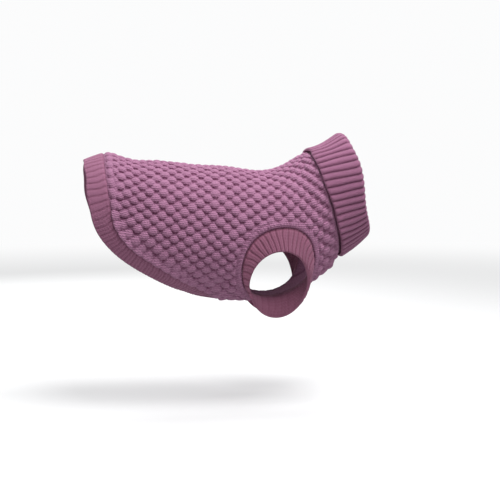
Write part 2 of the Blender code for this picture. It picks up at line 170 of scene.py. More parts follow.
# Spacing of the fine mesh on the panels' outside, on their inside and along their edges. An inner point
# stays a share of the pitch away from the edge.
OUTER_PITCH = 1.05
INNER_PITCH = 4.0
EDGE_PITCH = 1.05
EDGE_CLEARANCE = 0.5
# Points round the whole hem seam, and the angle beside the side seams that is free of them, in radians.
HEM_EDGE_POINTS = 600
CORNER_MARGIN = 0.012
# Turns an angle round the armhole into a length.
HOLE_RADIUS = ARMHOLE_HALF_LENGTH + 2.0
# The first faces of a panel tell which way its faces look.
FACING_SAMPLE = 5
INSIDE_SHADE = 0.45

# On the back the collar sinks between seam and fold, and its fold slopes off beside the top. The depths are
# in millimetres. Their place and half-widths are in radians from the back line.
COLLAR_SAG = 5.5
COLLAR_SAG_REACH = 0.75
COLLAR_SLOPE = 3.5
COLLAR_SLOPE_AROUND = 0.75
COLLAR_SLOPE_REACH = 0.35

# The bobbles lie in half-rows round the body, each shifted by half a pitch against the next. A bobble slopes
# gently on the side towards the back, hangs over a little on the other, and is slightly lozenge-shaped.
# A thin strand runs from each bobble to the next in its row.
BOBBLE_HALF_ROWS = 68
BOBBLE_PITCH = 16.8
BOBBLE_RADIUS_ALONG = 6.1
BOBBLE_RADIUS_ABOVE = 5.9
BOBBLE_RADIUS_BELOW = 4.9
BOBBLE_SQUARENESS = 1.8
BOBBLE_ROUNDNESS = 0.5
BOBBLE_HEIGHT = 3.2
STRAND_HEIGHT = 0.3
STRAND_HALF_WIDTH = 0.8
GROUND_LEVEL = -2.0
PLAIN_LEVEL = -0.6
# How far the rows of stitches lean back on the flanks.
ROW_LEAN = 9.5
# The seam's nearest point is looked for this far to the side of each place.
HEM_REACH = 25.0
# How far below a bobble its shade reaches.
SHADE_STEP_ALONG = 1.4
SHADE_STEP_AROUND = 3.0

STITCHES_PER_HALF_ROW = 1.5
STITCH_HEIGHT = 3.1


# ---- the jumper's form


def spline_through(knots, rows):
    """Natural cubic through the rows, one curve for each column, as a function of the knot value."""
    knots = np.asarray(knots, float)
    rows = np.asarray(rows, float)
    spans = np.diff(knots)
    last = len(knots) - 1
    slopes = np.diff(rows, axis=0) / spans[:, None]
    matrix = np.eye(last + 1)
    wanted = np.zeros_like(rows)
    for i in range(1, last):
        matrix[i, i - 1 : i + 2] = spans[i - 1], 2 * (spans[i - 1] + spans[i]), spans[i]
        wanted[i] = 6 * (slopes[i] - slopes[i - 1])
    bends = np.linalg.solve(matrix, wanted)

    def value(at):
        at = np.asarray(at, float)
        i = np.clip(np.searchsorted(knots, at) - 1, 0, last - 1)
        span = spans[i][..., None]
        low = (knots[i + 1] - at)[..., None] / span
        high = 1 - low
        bend = (low**3 - low) * bends[i] + (high**3 - high) * bends[i + 1]
        return low * rows[i] + high * rows[i + 1] + bend * span**2 / 6

    return value


def stations(sections):
    """Distance of each section from the first, down the middle of the tube."""
    table = np.array(sections)
    middles = (table[:, 0:2] + table[:, 2:4]) / 2
    return np.concatenate([[0.0], np.cumsum(np.linalg.norm(np.diff(middles, axis=0), axis=1))])


def oval_point(measures, around):
    """Point on an oval section at the angle `around`, in radians."""
    back_x, back_z, belly_x, belly_z, half_width = np.moveaxis(measures, -1, 0)
    rise = np.cos(around)
    side = np.sin(around)
    fuller = 1 + FULLNESS * np.sin(2 * around) ** 2
    middle_x = (back_x + belly_x) / 2
    middle_z = (back_z + belly_z) / 2
    x = middle_x + (back_x - middle_x) * rise * fuller
    y = -half_width * (1 + SHOULDER_SHARE * rise) * side * fuller
    z = middle_z + (back_z - middle_z) * rise * fuller
    return np.stack([x, y, z], axis=-1)


BODY_STATIONS = stations(BODY_SECTIONS)
NECK_ALONG = BODY_STATIONS[-1]
body_measures = spline_through(BODY_STATIONS, BODY_SECTIONS)
COLLAR_STATIONS = stations(COLLAR_SECTIONS)
collar_measures = spline_through(COLLAR_STATIONS / COLLAR_STATIONS[-1] * COLLAR_DEPTH, COLLAR_SECTIONS)


def smooth_body(along, around):
    along, around = np.broadcast_arrays(along, around)
    return oval_point(body_measures(along), around)


def collar_tube(along, around):
    """The outside of the collar's inner tube, `along` from the neck seam."""
    along, around = np.broadcast_arrays(along, around)
    share = np.clip(along / COLLAR_DEPTH, 0, 1)
    sag = COLLAR_SAG * hill(from_back(around), COLLAR_SAG_REACH) * np.sin(math.pi * share)
    sag = sag + COLLAR_SLOPE * hill(from_back(around) - COLLAR_SLOPE_AROUND, COLLAR_SLOPE_REACH) * share
    points = oval_point(collar_measures(along), around)
    return points - sag[..., None] * (0.0, 0.0, 1.0)


def tangents(surface, along, around):
    """How fast the surface moves with each of its two numbers."""
    small_step, small_turn = 0.2, 0.002
    by_along = surface(along + small_step, around) - surface(along - small_step, around)
    by_around = surface(along, around + small_turn) - surface(along, around - small_turn)
    return by_along / (2 * small_step), by_around / (2 * small_turn)


def unit(vectors):
    return vectors / np.linalg.norm(vectors, axis=-1, keepdims=True)


def normals(surface, along, around):
    """Unit normals that point out of the tube."""
    by_along, by_around = tangents(surface, along, around)
    return unit(np.cross(by_around, by_along))


def raised(surface, along, around, height):
    """Points that stand off the surface by the height given."""
    return surface(along, around) + np.asarray(height)[..., None] * normals(surface, along, around)


def ring_heading(points):
    """Where a closed ring of points is heading at each of them."""
    return np.roll(points, -1, axis=0) - np.roll(points, 1, axis=0)


def hill(value, half_width):
    """1 where the value is 0, fading to both sides."""
    return np.exp(-((value / half_width) ** 2))


def turned_from(around, centre_degrees):
    """Angle from a centre to `around`, the short way, in radians."""
    return (around - math.radians(centre_degrees) + math.pi) % TURN - math.pi


def from_back(around):
    """Angle between the back line and `around`, the short way, in radians."""
    return np.abs(turned_from(around, 0.0))


def degrees_from_back(around):
    return np.degrees(from_back(around))


def fold_height(folds, along, around):
    """Sum of the folds, each a soft ridge or trough that fades towards its ends."""
    total = np.zeros(np.broadcast(along, around).shape)
    for fold in map(Fold._make, folds):
        turned = turned_from(around, fold.around)
        down = turned * math.copysign(MEAN_RADIUS, fold.around)
        forward = along - fold.along
        turn = math.radians(math.copysign(fold.turn, fold.turn * fold.around))
        lengthwise = forward * math.cos(turn) + down * math.sin(turn)
        across = down * math.cos(turn) - forward * math.sin(turn)
        fade = (lengthwise / fold.half_length) ** 2 + (across / fold.half_width) ** 2
        total = total + fold.height * np.exp(-fade)
    return total


def body(along, around):
    """The body's outside with its folds."""
    along, around = np.broadcast_arrays(np.asarray(along, float), np.asarray(around, float))
    return raised(smooth_body, along, around, fold_height(MAIN_FOLDS, along, around))


def walk(along, around, heading, distance):
    """Where straight lines on the body end, from each place, in the headings and distances given."""
    steps = max(1, math.ceil(float(np.max(np.abs(distance))) / WALK_STEP))
    for _ in range(steps):
        by_along, by_around = tangents(smooth_body, along, around)
        out = unit(np.cross(by_along, by_around))
        heading = unit(heading - (heading * out).sum(-1, keepdims=True) * out)
        aa = (by_along * by_along).sum(-1)
        ab = (by_along * by_around).sum(-1)
        bb = (by_around * by_around).sum(-1)
        toward_along = (heading * by_along).sum(-1)
        toward_around = (heading * by_around).sum(-1)
        determinant = aa * bb - ab * ab
        along = along + (toward_along * bb - toward_around * ab) / determinant * distance / steps
        around = around + (toward_around * aa - toward_along * ab) / determinant * distance / steps
    return along, around


def hem_spline():
    """The hem seam's `along` for each `around`, level where it crosses the back and the belly."""
    around, along = np.array(HEM_AROUND), np.array(HEM_ALONG)
    around = np.concatenate([-around[2:0:-1], around, 360 - around[-2:-4:-1]])
    along = np.concatenate([along[2:0:-1], along, along[-2:-4:-1]])
    return spline_through(np.radians(around), along[:, None])


hem_curve = hem_spline()


def hem_along(around):
    """`along` of the hem seam at any angle."""
    return hem_curve(from_back(np.asarray(around, float)))[..., 0]


def even_hem_angles(count):
    """Angles that cut the hem seam into `count` equal lengths, starting on the back."""
    fine = np.linspace(0, TURN, LENGTH_SAMPLES)
    points = smooth_body(hem_along(fine), fine)
    lengths = np.concatenate([[0.0], np.cumsum(np.linalg.norm(np.diff(points, axis=0), axis=1))])
    wanted = np.linspace(0, lengths[-1], count, endpoint=False)
    return np.interp(wanted, lengths, fine), lengths[-1]


def armhole(turn, side):
    """(along, around) on the armhole's edge. Turn 0 is its front end and 90 degrees its top."""
    along = ARMHOLE_ALONG + ARMHOLE_HALF_LENGTH * np.cos(turn)
    around = ARMHOLE_AROUND - ARMHOLE_HALF_AROUND * np.sin(turn)
    return along, side * np.radians(around)


def collar_fold_along(around):
    """`along` of the collar's fold from the neck seam, which waves a little round the neck."""
    depth = np.full(np.shape(around), COLLAR_DEPTH)
    for place, half_width, height in COLLAR_EDGE_WAVES:
        depth += height * hill(turned_from(around, place), math.radians(half_width))
    return depth


# ---- relief of the bobble knit


def smooth_step(value, start, end):
    """0 below start, 1 above end, and a smooth rise between."""
    share = np.clip((value - start) / (end - start), 0, 1)
    return share * share * (3 - 2 * share)


# The grid of places at which the girth and the knit's cells are measured.
ARC_STATIONS = np.linspace(0, NECK_ALONG, 60)
ARC_ANGLES = np.linspace(0, math.pi, 181)
# Keeps a place on the grid's last line inside the last cell.
LAST_LINE = 1.001
# Towards the neck the rows stay more level than the body and stand further apart, so some end on the way.
ROWS_LOST = 0.27
NECK_KNIT_START = 195.0
NECK_KNIT_END = 300.0


def measure_arcs():
    """Distance round the body from the back line, on a grid of places, and the whole girth."""
    points = smooth_body(ARC_STATIONS[:, None], ARC_ANGLES[None, :])
    steps = np.linalg.norm(np.diff(points, axis=1), axis=2)
    arcs = np.concatenate([np.zeros((len(ARC_STATIONS), 1)), np.cumsum(steps, axis=1)], axis=1)
    return arcs, 2 * arcs[:, -1]


ARCS, GIRTHS = measure_arcs()


def girth(along):
    return np.interp(along, ARC_STATIONS, GIRTHS)


def on_grid(table, along, around):
    """Value of a table of the grid's places at any place, alike on both sides of the back line."""
    folded = np.abs(np.where(around > math.pi, TURN - around, around))
    row = np.clip(along / ARC_STATIONS[1], 0, len(ARC_STATIONS) - LAST_LINE)
    column = np.clip(folded / ARC_ANGLES[1], 0, len(ARC_ANGLES) - LAST_LINE)
    i, j = row.astype(int), column.astype(int)
    s, t = row - i, column - j
    before = (1 - t) * table[i, j] + t * table[i, j + 1]
    return (1 - s) * before + s * ((1 - t) * table[i + 1, j] + t * table[i + 1, j + 1])


def arc_share(along, around):
    """Share of the girth between the back line and a place: 0 on the back, 0.25 on the flank, 0.5 below."""
    share = on_grid(ARCS, along, around) / girth(along)
    return np.where(around > math.pi, 1 - share, np.sign(around) * share)


def leaned(along, around):
    """`along` measured on the knit, whose columns lean back on the flanks."""
    return along + ROW_LEAN * (1 - np.cos(around))


def by_neck(along):
    """0 on the trunk and 1 where the knit has narrowed towards the neck."""
    return smooth_step(along, NECK_KNIT_START, NECK_KNIT_END)


def half_row_at(along, around):
    """Half-row of the knit at a place, counted from the back line and negative on the left."""
    on_back_panel = from_back(around) < math.radians(SIDE_SEAM_AROUND)
    lost = ROWS_LOST * by_neck(along) * on_back_panel
    return BOBBLE_HALF_ROWS * arc_share(along, around) * (1 - lost)


def measure_cells():
    """Size of the knit's cells on the grid, in mm: stride and slope of a row, and height of a half-row."""
    reach, turn = 1.0, 0.01
    seam = math.radians(SIDE_SEAM_AROUND)
    along, around = np.meshgrid(ARC_STATIONS, ARC_ANGLES, indexing="ij")
    along = np.clip(along, reach, NECK_ALONG - reach)
    around = np.clip(around, turn, math.pi - turn)
    around = np.where(np.abs(around - seam) <= turn, seam - 1.1 * turn, around)
    by_along, by_around = tangents(smooth_body, along, around)
    slopes = []
    for measure in (leaned, half_row_at):
        slopes.append((measure(along + reach, around) - measure(along - reach, around)) / (2 * reach))
        slopes.append((measure(along, around + turn) - measure(along, around - turn)) / (2 * turn))
    column_along, column_around, row_along, row_around = (slope[..., None] for slope in slopes)
    determinant = column_along * row_around - column_around * row_along
    one_column = (by_along * row_around - by_around * row_along) / determinant
    one_row = (by_around * column_along - by_along * column_around) / determinant
    stride = np.linalg.norm(one_column, axis=-1)
    slope = (one_row * one_column).sum(-1) / stride
    height = np.sqrt((one_row**2).sum(-1) - slope**2)
    return stride, slope, height


STRIDE, ROW_SLOPE, ROW_HEIGHT = measure_cells()
USUAL_ROW_HEIGHT = 6.75
# A bobble grows and shrinks with its cell between these shares of its size, and is smaller by the neck.
LENGTH_SHARES = (0.72, 1.15)
WIDTH_SHARES = (0.75, 1.2)
NECK_LOSS = 0.14

BOBBLE_COLUMNS = 64
random = np.random.default_rng(7)
bobble_size = random.uniform(0.9, 1.07, (BOBBLE_HALF_ROWS, BOBBLE_COLUMNS))
bobble_shift_along = random.uniform(-0.5, 0.5, (BOBBLE_HALF_ROWS, BOBBLE_COLUMNS))
bobble_shift_around = random.uniform(-0.4, 0.4, (BOBBLE_HALF_ROWS, BOBBLE_COLUMNS))


def downward(share):
    """1 where the girth's share grows towards the belly, and -1 where it falls."""
    return np.where((share > 0) & (share < 0.5), 1.0, -1.0)


def bobbles(along, around):
    """Height of the knit from 0 on the ground to 1 on a full bobble's top."""
    half_row = half_row_at(along, around)
    down = downward(half_row / BOBBLE_HALF_ROWS)
    place = leaned(along, around) / BOBBLE_PITCH
    stride = on_grid(STRIDE, along, around)
    slope = on_grid(ROW_SLOPE, along, around)
    row_height = on_grid(ROW_HEIGHT, along, around)
    smaller = 1 - NECK_LOSS * by_neck(along)
    radius_along = BOBBLE_RADIUS_ALONG * np.clip(stride, *LENGTH_SHARES) * smaller
    radius_down = np.clip(row_height / USUAL_ROW_HEIGHT, *WIDTH_SHARES) * smaller
    highest = np.zeros(np.shape(along))
    for beside in (-1, 0, 1):
        row = np.round(half_row) + beside
        stagger = 0.5 * (row % 2)
        column = np.round(place - stagger)
        i = (row % BOBBLE_HALF_ROWS).astype(int)
        j = (column % BOBBLE_COLUMNS).astype(int)
        rows_below = (half_row - row) * down
        from_middle = stride * (place - stagger - column) * BOBBLE_PITCH - bobble_shift_along[i, j]
        from_middle += slope * rows_below
        below = row_height * rows_below - bobble_shift_around[i, j]
        size = bobble_size[i, j]
        reach = np.where(below > 0, BOBBLE_RADIUS_BELOW, BOBBLE_RADIUS_ABOVE) * radius_down * size
        spread = np.abs(from_middle / (radius_along * size)) ** BOBBLE_SQUARENESS
        spread += np.abs(below / reach) ** BOBBLE_SQUARENESS
        dome = size * np.clip(1 - spread, 0, 1) ** BOBBLE_ROUNDNESS
        strand = STRAND_HEIGHT * hill(below, STRAND_HALF_WIDTH)
        highest = np.maximum(highest, np.maximum(dome, strand))
    return highest


def nearest_on_hem(along, around):
    """Distance from the hem seam, positive towards the head, and the angle of the seam's nearest point."""
    small_turn, rounds = 0.01, 3
    seam_around = around
    for _ in range(rounds):
        rise = hem_along(seam_around + small_turn) - hem_along(seam_around - small_turn)
        slope = rise / (2 * small_turn * MEAN_RADIUS)
        level = hem_along(seam_around) + slope * (around - seam_around) * MEAN_RADIUS
        distance = (along - level) / np.sqrt(1 + slope**2)
        shift = distance * slope / np.sqrt(1 + slope**2)
        seam_around = around + np.clip(shift, -HEM_REACH, HEM_REACH) / MEAN_RADIUS
    return distance, seam_around


def from_armhole(along, around):
    """Distance from the nearer armhole's edge, positive outside the hole."""
    forward = along - ARMHOLE_ALONG
    down = degrees_from_back(around) - ARMHOLE_AROUND
    ratio = np.sqrt((forward / ARMHOLE_HALF_LENGTH) ** 2 + (down / ARMHOLE_HALF_AROUND) ** 2)
    length = np.hypot(forward, np.radians(down) * MEAN_RADIUS)
    least_ratio = 0.01
    return length * (1 - 1 / np.maximum(ratio, least_ratio))


def from_side_seam(around):
    """Distance from the nearer side seam."""
    return np.radians(np.abs(degrees_from_back(around) - SIDE_SEAM_AROUND)) * MEAN_RADIUS


def armhole_turn(along, around):
    """Where round the nearer armhole a place lies: 0 in front of it and 90 degrees above."""
    rise = (ARMHOLE_AROUND - degrees_from_back(around)) / ARMHOLE_HALF_AROUND
    return np.arctan2(rise, (along - ARMHOLE_ALONG) / ARMHOLE_HALF_LENGTH)


# Along the hem and over the armholes the seam pulls the bobbles into a flat row of their own, with the sizes
# of one of the half-rows.
EdgeRow = namedtuple("EdgeRow", "bobbles middle half_along half_across height")
HEM_ROW = EdgeRow(46, 5.6, 0.56, 5.6, 0.95)
ARMHOLE_ROW = EdgeRow(22, 4.6, 0.66, 4.8, 0.8)
EDGE_ROW_SIZES = 3
EDGE_ROW_ROUNDNESS = 0.6
# How much flatter the armhole's row is in front of the hole and behind it.
ARMHOLE_ROW_LOSS = 0.6
HEM_STEPS = 720
HEM_ANGLES, HEM_SEAM_LENGTH = even_hem_angles(HEM_STEPS)

# The bobbles begin between these distances from an edge, and the flat knit by the hem and the armholes ends
# between those of the second group. It reaches further in front of an armhole and behind it.
BOBBLES_FROM_NECK = (1.5, 5.0)
BOBBLES_FROM_HEM = (7.0, 10.0)
BOBBLES_FROM_HOLE = (6.0, 9.0)
BOBBLES_FROM_SIDE = (0.6, 3.0)
PLAIN_BY_HEM = (0.0, 2.5)
PLAIN_BY_HOLE = (0.3, 3.0)
PLAIN_BESIDE_HOLE = 5.0

# Shade below a bobble, and shade on the ground, which ends at a share of the bobbles' height. By the neck
# the knit is stretched and less shaded.
SHADE_BELOW = 0.85
SHADE_ON_GROUND = 0.4
SHADE_FALL = 1.3
NECK_SHADE_LOSS = 0.27
NECK_SHADE_END = NECK_KNIT_END - 40

# Angles from the back line, in radians, between which the lower flank begins and the upper one ends.
LOWER_FLANK = (1.2, 1.75)
UPPER_FLANK = (1.3, 1.9)
# How far the bobbles bulge over the hem band on the lower flanks, and where they do so most.
HEM_BULGE = 7.5
HEM_BULGE_MIDDLE = 4.4
HEM_BULGE_START = 0.5

# Ridges along the edges, at a distance from them.
Ridge = namedtuple("Ridge", "middle half_width height")
NECK_RIDGE = Ridge(3.5, 2.5, 0.5)
HOLE_RIDGE = Ridge(4.0, 3.4, 0.9)
HEM_RIDGE = Ridge(4.5, 4.0, 1.5)
# Stretched stitches stand round the armholes like spokes, which sway a little on their way out.
HOLE_SPOKES = 72
SPOKE_SWAY = 2.2
SPOKE_SWAY_RATE = 0.55
SPOKE_RIDGE = Ridge(4.5, 4.2, 0.34)
SPOKE_SHADE = 0.25

# Grooves along the seams. The hem's is deeper on the upper flanks and the back.
Groove = namedtuple("Groove", "depth half_width")
NECK_SEAM = Groove(1.0, 1.5)
HOLE_SEAM = Groove(1.3, 1.3)
SIDE_SEAM = Groove(0.5, 0.9)
HEM_SEAM_BELOW = Groove(0.2, 1.2)
HEM_SEAM_DEEPER = 0.4
GROOVE_SHADE = 0.8


def edge_row(row, share, distance):
    """Height of a row of flat bobbles, at a share of the edge's length and a distance from the edge."""
    place = share * row.bobbles
    highest = np.zeros(np.shape(distance))
    for beside in (-0.5, 0.5):
        number = np.round(place + beside)
        size = bobble_size[EDGE_ROW_SIZES, (number % row.bobbles % BOBBLE_COLUMNS).astype(int)]
        across = (distance - row.middle) / (row.half_across * size)
        spread = ((place - number) / row.half_along) ** 2 + across**2
        highest = np.maximum(highest, row.height * size * np.clip(1 - spread, 0, 1) ** EDGE_ROW_ROUNDNESS)
    return highest


def knit_field(along, around):
    """Height of the bobble knit with its edge rows, from 0 on the ground to 1 on a full bobble's top."""
    hem, hem_around = nearest_on_hem(along, around)
    hole = from_armhole(along, around)
    turn = armhole_turn(along, around)
    field = bobbles(along, around) * smooth_step(NECK_ALONG - along, *BOBBLES_FROM_NECK)
    clear = smooth_step(hem, *BOBBLES_FROM_HEM) * smooth_step(hole, *BOBBLES_FROM_HOLE)
    field *= clear * smooth_step(from_side_seam(around), *BOBBLES_FROM_SIDE)
    shares = np.linspace(0, 1, HEM_STEPS + 1)
    hem_share = np.interp(hem_around % TURN, np.append(HEM_ANGLES, TURN), shares)
    field = np.maximum(field, edge_row(HEM_ROW, hem_share, hem))
    hole_row = edge_row(ARMHOLE_ROW, turn / TURN, hole)
    return np.maximum(field, hole_row * (1 - ARMHOLE_ROW_LOSS * np.cos(turn) ** 2))


def bobble_shade(along, around, height):
    """Shade of the bobbles on what lies below them, for light that comes from above and in front."""
    step = downward(arc_share(along, around)) * SHADE_STEP_AROUND / MEAN_RADIUS
    higher = knit_field(along + SHADE_STEP_ALONG, around - step)
    on_ground = SHADE_ON_GROUND * np.clip(1 - SHADE_FALL * height, 0, 1)
    return np.clip(SHADE_BELOW * (higher - height), 0, 1) + on_ground


def on_lower_flank(around):
    """1 on the lower flanks and below, and 0 on the back."""
    return smooth_step(from_back(around), *LOWER_FLANK)


def bulge_over_hem(along, around):
    """The place that lies over each one once the bobbles' last row bulges over the hem band."""
    hem, hem_around = nearest_on_hem(along, around)
    share = np.clip(hem, 0, None) / HEM_BULGE_MIDDLE
    slide = HEM_BULGE * on_lower_flank(around) * share * np.exp(1 - share)
    away = np.maximum(hem, HEM_BULGE_START)
    moved_along = along - slide * (along - hem_along(hem_around)) / away
    moved_around = around - slide * (around - hem_around) / away
    bulged = hem > HEM_BULGE_START
    return np.where(bulged, moved_along, along), np.where(bulged, moved_around, around)


def ridge_height(ridge, distance):
    return ridge.height * hill(distance - ridge.middle, ridge.half_width)


def panel_relief(along, around):
    """Height of the knit over the panel's form, and how deep in the shade each place lies."""
    neck = NECK_ALONG - along
    hem, _ = nearest_on_hem(along, around)
    hole = from_armhole(along, around)
    side = from_side_seam(around)
    turn = armhole_turn(along, around)
    plain_start, plain_end = PLAIN_BY_HOLE
    bobbled = smooth_step(neck, *BOBBLES_FROM_NECK) * smooth_step(side, *BOBBLES_FROM_SIDE)
    bobbled *= smooth_step(hole, plain_start, plain_end + PLAIN_BESIDE_HOLE * np.cos(turn) ** 2)
    bobbled *= smooth_step(hem, *PLAIN_BY_HEM)
    field = knit_field(along, around)
    knit = GROUND_LEVEL + BOBBLE_HEIGHT * field
    height = PLAIN_LEVEL + (knit - PLAIN_LEVEL) * bobbled
    height += ridge_height(HOLE_RIDGE, hole) + ridge_height(NECK_RIDGE, neck)
    spokes = np.sin(HOLE_SPOKES * turn + SPOKE_SWAY * np.sin(SPOKE_SWAY_RATE * hole))
    height += spokes * ridge_height(SPOKE_RIDGE, hole)
    height += fold_height(SMALL_FOLDS, along, around)
    height += on_lower_flank(around) * ridge_height(HEM_RIDGE, hem)
    softer = 1 - NECK_SHADE_LOSS * smooth_step(along, NECK_KNIT_START, NECK_SHADE_END)
    between_spokes = np.clip(-spokes, 0, 1) * hill(hole - SPOKE_RIDGE.middle, SPOKE_RIDGE.half_width)
    shade = bobbled * softer * bobble_shade(along, around, field) + SPOKE_SHADE * between_spokes
    upper = 1 - smooth_step(from_back(around), *UPPER_FLANK)
    hem_seam = Groove(HEM_SEAM_BELOW.depth + HEM_SEAM_DEEPER * upper, HEM_SEAM_BELOW.half_width)
    for distance, groove in ((neck, NECK_SEAM), (hem, hem_seam), (hole, HOLE_SEAM), (side, SIDE_SEAM)):
        dip = groove.depth * hill(distance, groove.half_width)
        height -= dip
        shade = np.maximum(shade, GROOVE_SHADE * dip)
    return height, shade


# ---- meshes


def make_piece(name, points, faces, uvs, shade, material):
    """A smooth mesh in metres. uvs has a row for each corner of each face, in stitches."""
    mesh = bpy.data.meshes.new(name)
    faces = np.asarray(faces)
    corners = faces.shape[1]
    mesh.vertices.add(len(points))
    mesh.vertices.foreach_set("co", (np.asarray(points) * MM).astype(np.float32).ravel())
    mesh.loops.add(faces.size)
    mesh.loops.foreach_set("vertex_index", faces.astype(np.int32).ravel())
    mesh.polygons.add(len(faces))
    mesh.polygons.foreach_set("loop_start", np.arange(0, faces.size, corners, dtype=np.int32))
    layer = mesh.uv_layers.new(name="knit")
    layer.uv.foreach_set("vector", np.asarray(uvs, np.float32).ravel())
    kept = mesh.attributes.new("shade", "FLOAT", "POINT")
    kept.data.foreach_set("value", np.asarray(shade, np.float32).ravel())
    mesh.update(calc_edges=True)
    mesh.validate()
    mesh.shade_smooth()
    mesh.materials.append(material)
    item = bpy.data.objects.new(name, mesh)
    bpy.context.scene.collection.objects.link(item)
    return item


def fill_outline(flat, pitch):
    """Flat triangulation inside a closed outline, with evenly spread inner points."""
    low, high = flat.min(axis=0), flat.max(axis=0)
    row_height = pitch * math.sqrt(0.75)
    following = np.roll(flat, -1, axis=0)
    inner = []
    rows = np.arange(low[1] + row_height / 2, high[1], row_height)
    for number, y in enumerate(rows):
        crossed = (flat[:, 1] > y) != (following[:, 1] > y)
        start, end = flat[crossed], following[crossed]
        crossings = np.sort(start[:, 0] + (y - start[:, 1]) * (end - start)[:, 0] / (end - start)[:, 1])
        xs = np.arange(low[0] + pitch / 2 * (number % 2), high[0], pitch)
        inside = np.searchsorted(crossings, xs) % 2 == 1
        near = flat[np.abs(flat[:, 1] - y) < pitch]
        xs = xs[inside]
        if len(near) and len(xs):
            gaps = np.hypot(xs[:, None] - near[None, :, 0], y - near[None, :, 1]).min(axis=1)
            xs = xs[gaps > EDGE_CLEARANCE * pitch]
        inner.append(np.column_stack([xs, np.full(len(xs), y)]))
    points = np.concatenate([flat, *inner])
    border = [(i, (i + 1) % len(flat)) for i in range(len(flat))]
    inside_only, tolerance = 1, 1e-6
    found = delaunay_2d_cdt(points.tolist(), border, [], inside_only, tolerance)
    return np.array([tuple(vector) for vector in found[0]]), np.array([tuple(face) for face in found[2]])


def line(first, last, pitch):
    """Evenly spread numbers from the first to the last, about a pitch apart."""
    count = max(2, round(abs(last - first) / pitch) + 1)
    return np.linspace(first, last, count)


def seam_turns(seam_around):
    """Turns of the armhole where the side seam enters it, at its front and at its rear."""
    dip = math.asin((ARMHOLE_AROUND - math.degrees(seam_around)) / ARMHOLE_HALF_AROUND)
    return dip, math.pi - dip


def side_outline(offset, over_the_top):
    """Right side of a panel from its neck corner to its hem corner, as (along, around) rows."""
    seam = math.radians(SIDE_SEAM_AROUND)
    front, rear = seam_turns(seam)
    last = rear if over_the_top else rear - TURN
    turns = line(front, last, EDGE_PITCH / HOLE_RADIUS)[1:-1]
    before = line(NECK_ALONG, float(armhole(front, 1)[0]), EDGE_PITCH)
    after = line(float(armhole(rear, 1)[0]), float(hem_along(seam)), EDGE_PITCH)
    rows = [(along, seam + offset) for along in before]
    rows += list(zip(*armhole(turns, 1), strict=True))
    rows += [(along, seam + offset) for along in after]
    return rows


def hem_outline(seam_around, across_back):
    """The panel's hem edge from its right corner to its left one, without the corners."""
    angles, _ = even_hem_angles(HEM_EDGE_POINTS)
    signed = turned_from(angles, 0.0)
    if across_back:
        kept = np.sort(signed[np.abs(signed) < seam_around - CORNER_MARGIN])[::-1]
    else:
        kept = np.sort(angles[np.abs(angles - math.pi) < math.pi - seam_around - CORNER_MARGIN])
    return list(zip(hem_along(kept), kept, strict=True))


def make_panel(name, outline, material):
    """A knitted shell on the body inside an outline: relief outside, plain inside, joined at the edge."""
    flat = np.array(outline) * (1, MEAN_RADIUS)
    fine, fine_faces = fill_outline(flat, OUTER_PITCH)
    coarse, coarse_faces = fill_outline(flat, INNER_PITCH)
    along, around = fine[:, 0], fine[:, 1] / MEAN_RADIUS
    in_along, in_around = coarse[:, 0], coarse[:, 1] / MEAN_RADIUS
    height, shade = panel_relief(along, around)
    outside = raised(body, *bulge_over_hem(along, around), height)
    inside = raised(body, in_along, in_around, np.full(len(coarse), -WALL))
    sample = fine_faces[:FACING_SAMPLE]
    a, b, c = outside[sample].transpose(1, 0, 2)
    inside_out = (np.cross(b - a, c - a) * normals(body, along, around)[sample[:, 0]]).sum() < 0
    count, edge = len(outside), len(flat)
    i = np.arange(edge)
    j = (i + 1) % edge
    rim = np.concatenate([np.column_stack([j, i, i + count]), np.column_stack([j, i + count, j + count])])
    faces = np.concatenate([fine_faces, coarse_faces[:, ::-1] + count, rim])
    if inside_out:
        faces = faces[:, ::-1]
    points = np.concatenate([outside, inside])
    all_along = np.concatenate([along, in_along])
    all_around = np.concatenate([around, in_around])
    across = half_row_at(all_along, all_around) * STITCHES_PER_HALF_ROW
    stitches = np.column_stack([across, leaned(all_along, all_around) / STITCH_HEIGHT])
    shades = np.concatenate([shade, np.full(len(inside), INSIDE_SHADE)])
    return make_piece(name, points, faces, stitches[faces].reshape(-1, 2), shades, material)


def make_ring(name, ring, material):
    """A closed ring from rows of points, whose profile closes on itself."""
    loops, twists = np.array(ring.loops), np.array(ring.twists)
    rows, columns = loops.shape[:2]
    i, j = np.meshgrid(np.arange(rows), np.arange(columns), indexing="ij")
    following, beside = (i + 1) % rows, (j + 1) % columns
    corners = ((i, j), (i, beside), (following, beside), (following, j))
    faces = np.stack([row * columns + column for row, column in corners], axis=-1).reshape(-1, 4)
    turned_on = np.stack([twists[corner] for corner in corners], axis=-1)
    across = (np.stack([j, j + 1, j + 1, j], axis=-1) - turned_on).reshape(-1, 4)
    across = across / (ring.ribs.columns / ring.ribs.stitches)
    stitch_rows = np.append(ring.rows, 2 * ring.rows[-1] - ring.rows[-2])
    down = stitch_rows[np.stack([i, i, i + 1, i + 1], axis=-1).reshape(-1, 4)]
    uvs = np.stack([across, down], axis=-1)
    points = loops.reshape(-1, 3)
    a, b, c, _ = (points[faces] - points.mean(axis=0)).transpose(1, 0, 2)
    if (a * np.cross(b, c)).sum() < 0:
        faces, uvs = faces[:, ::-1], uvs[:, ::-1]
    return make_piece(name, points, faces, uvs.reshape(-1, 2), np.array(ring.shades).ravel(), material)


# ---- ribbed pieces

# The pieces meet more closely than their solids, so that no light comes through the seams.
SEAM_TUCK = 0.05
# The free edges are round. A point of them is given by how far out and how high it stands, as a share of the
# radius, and by the share of the ribs' height that it carries.
EDGE_ROUND = WALL / 2
EDGE_ANGLES = np.radians(np.linspace(90, -90, 9))
ROUND_EDGE = [(math.cos(angle), math.sin(angle), max(0.0, math.sin(angle))) for angle in EDGE_ANGLES]
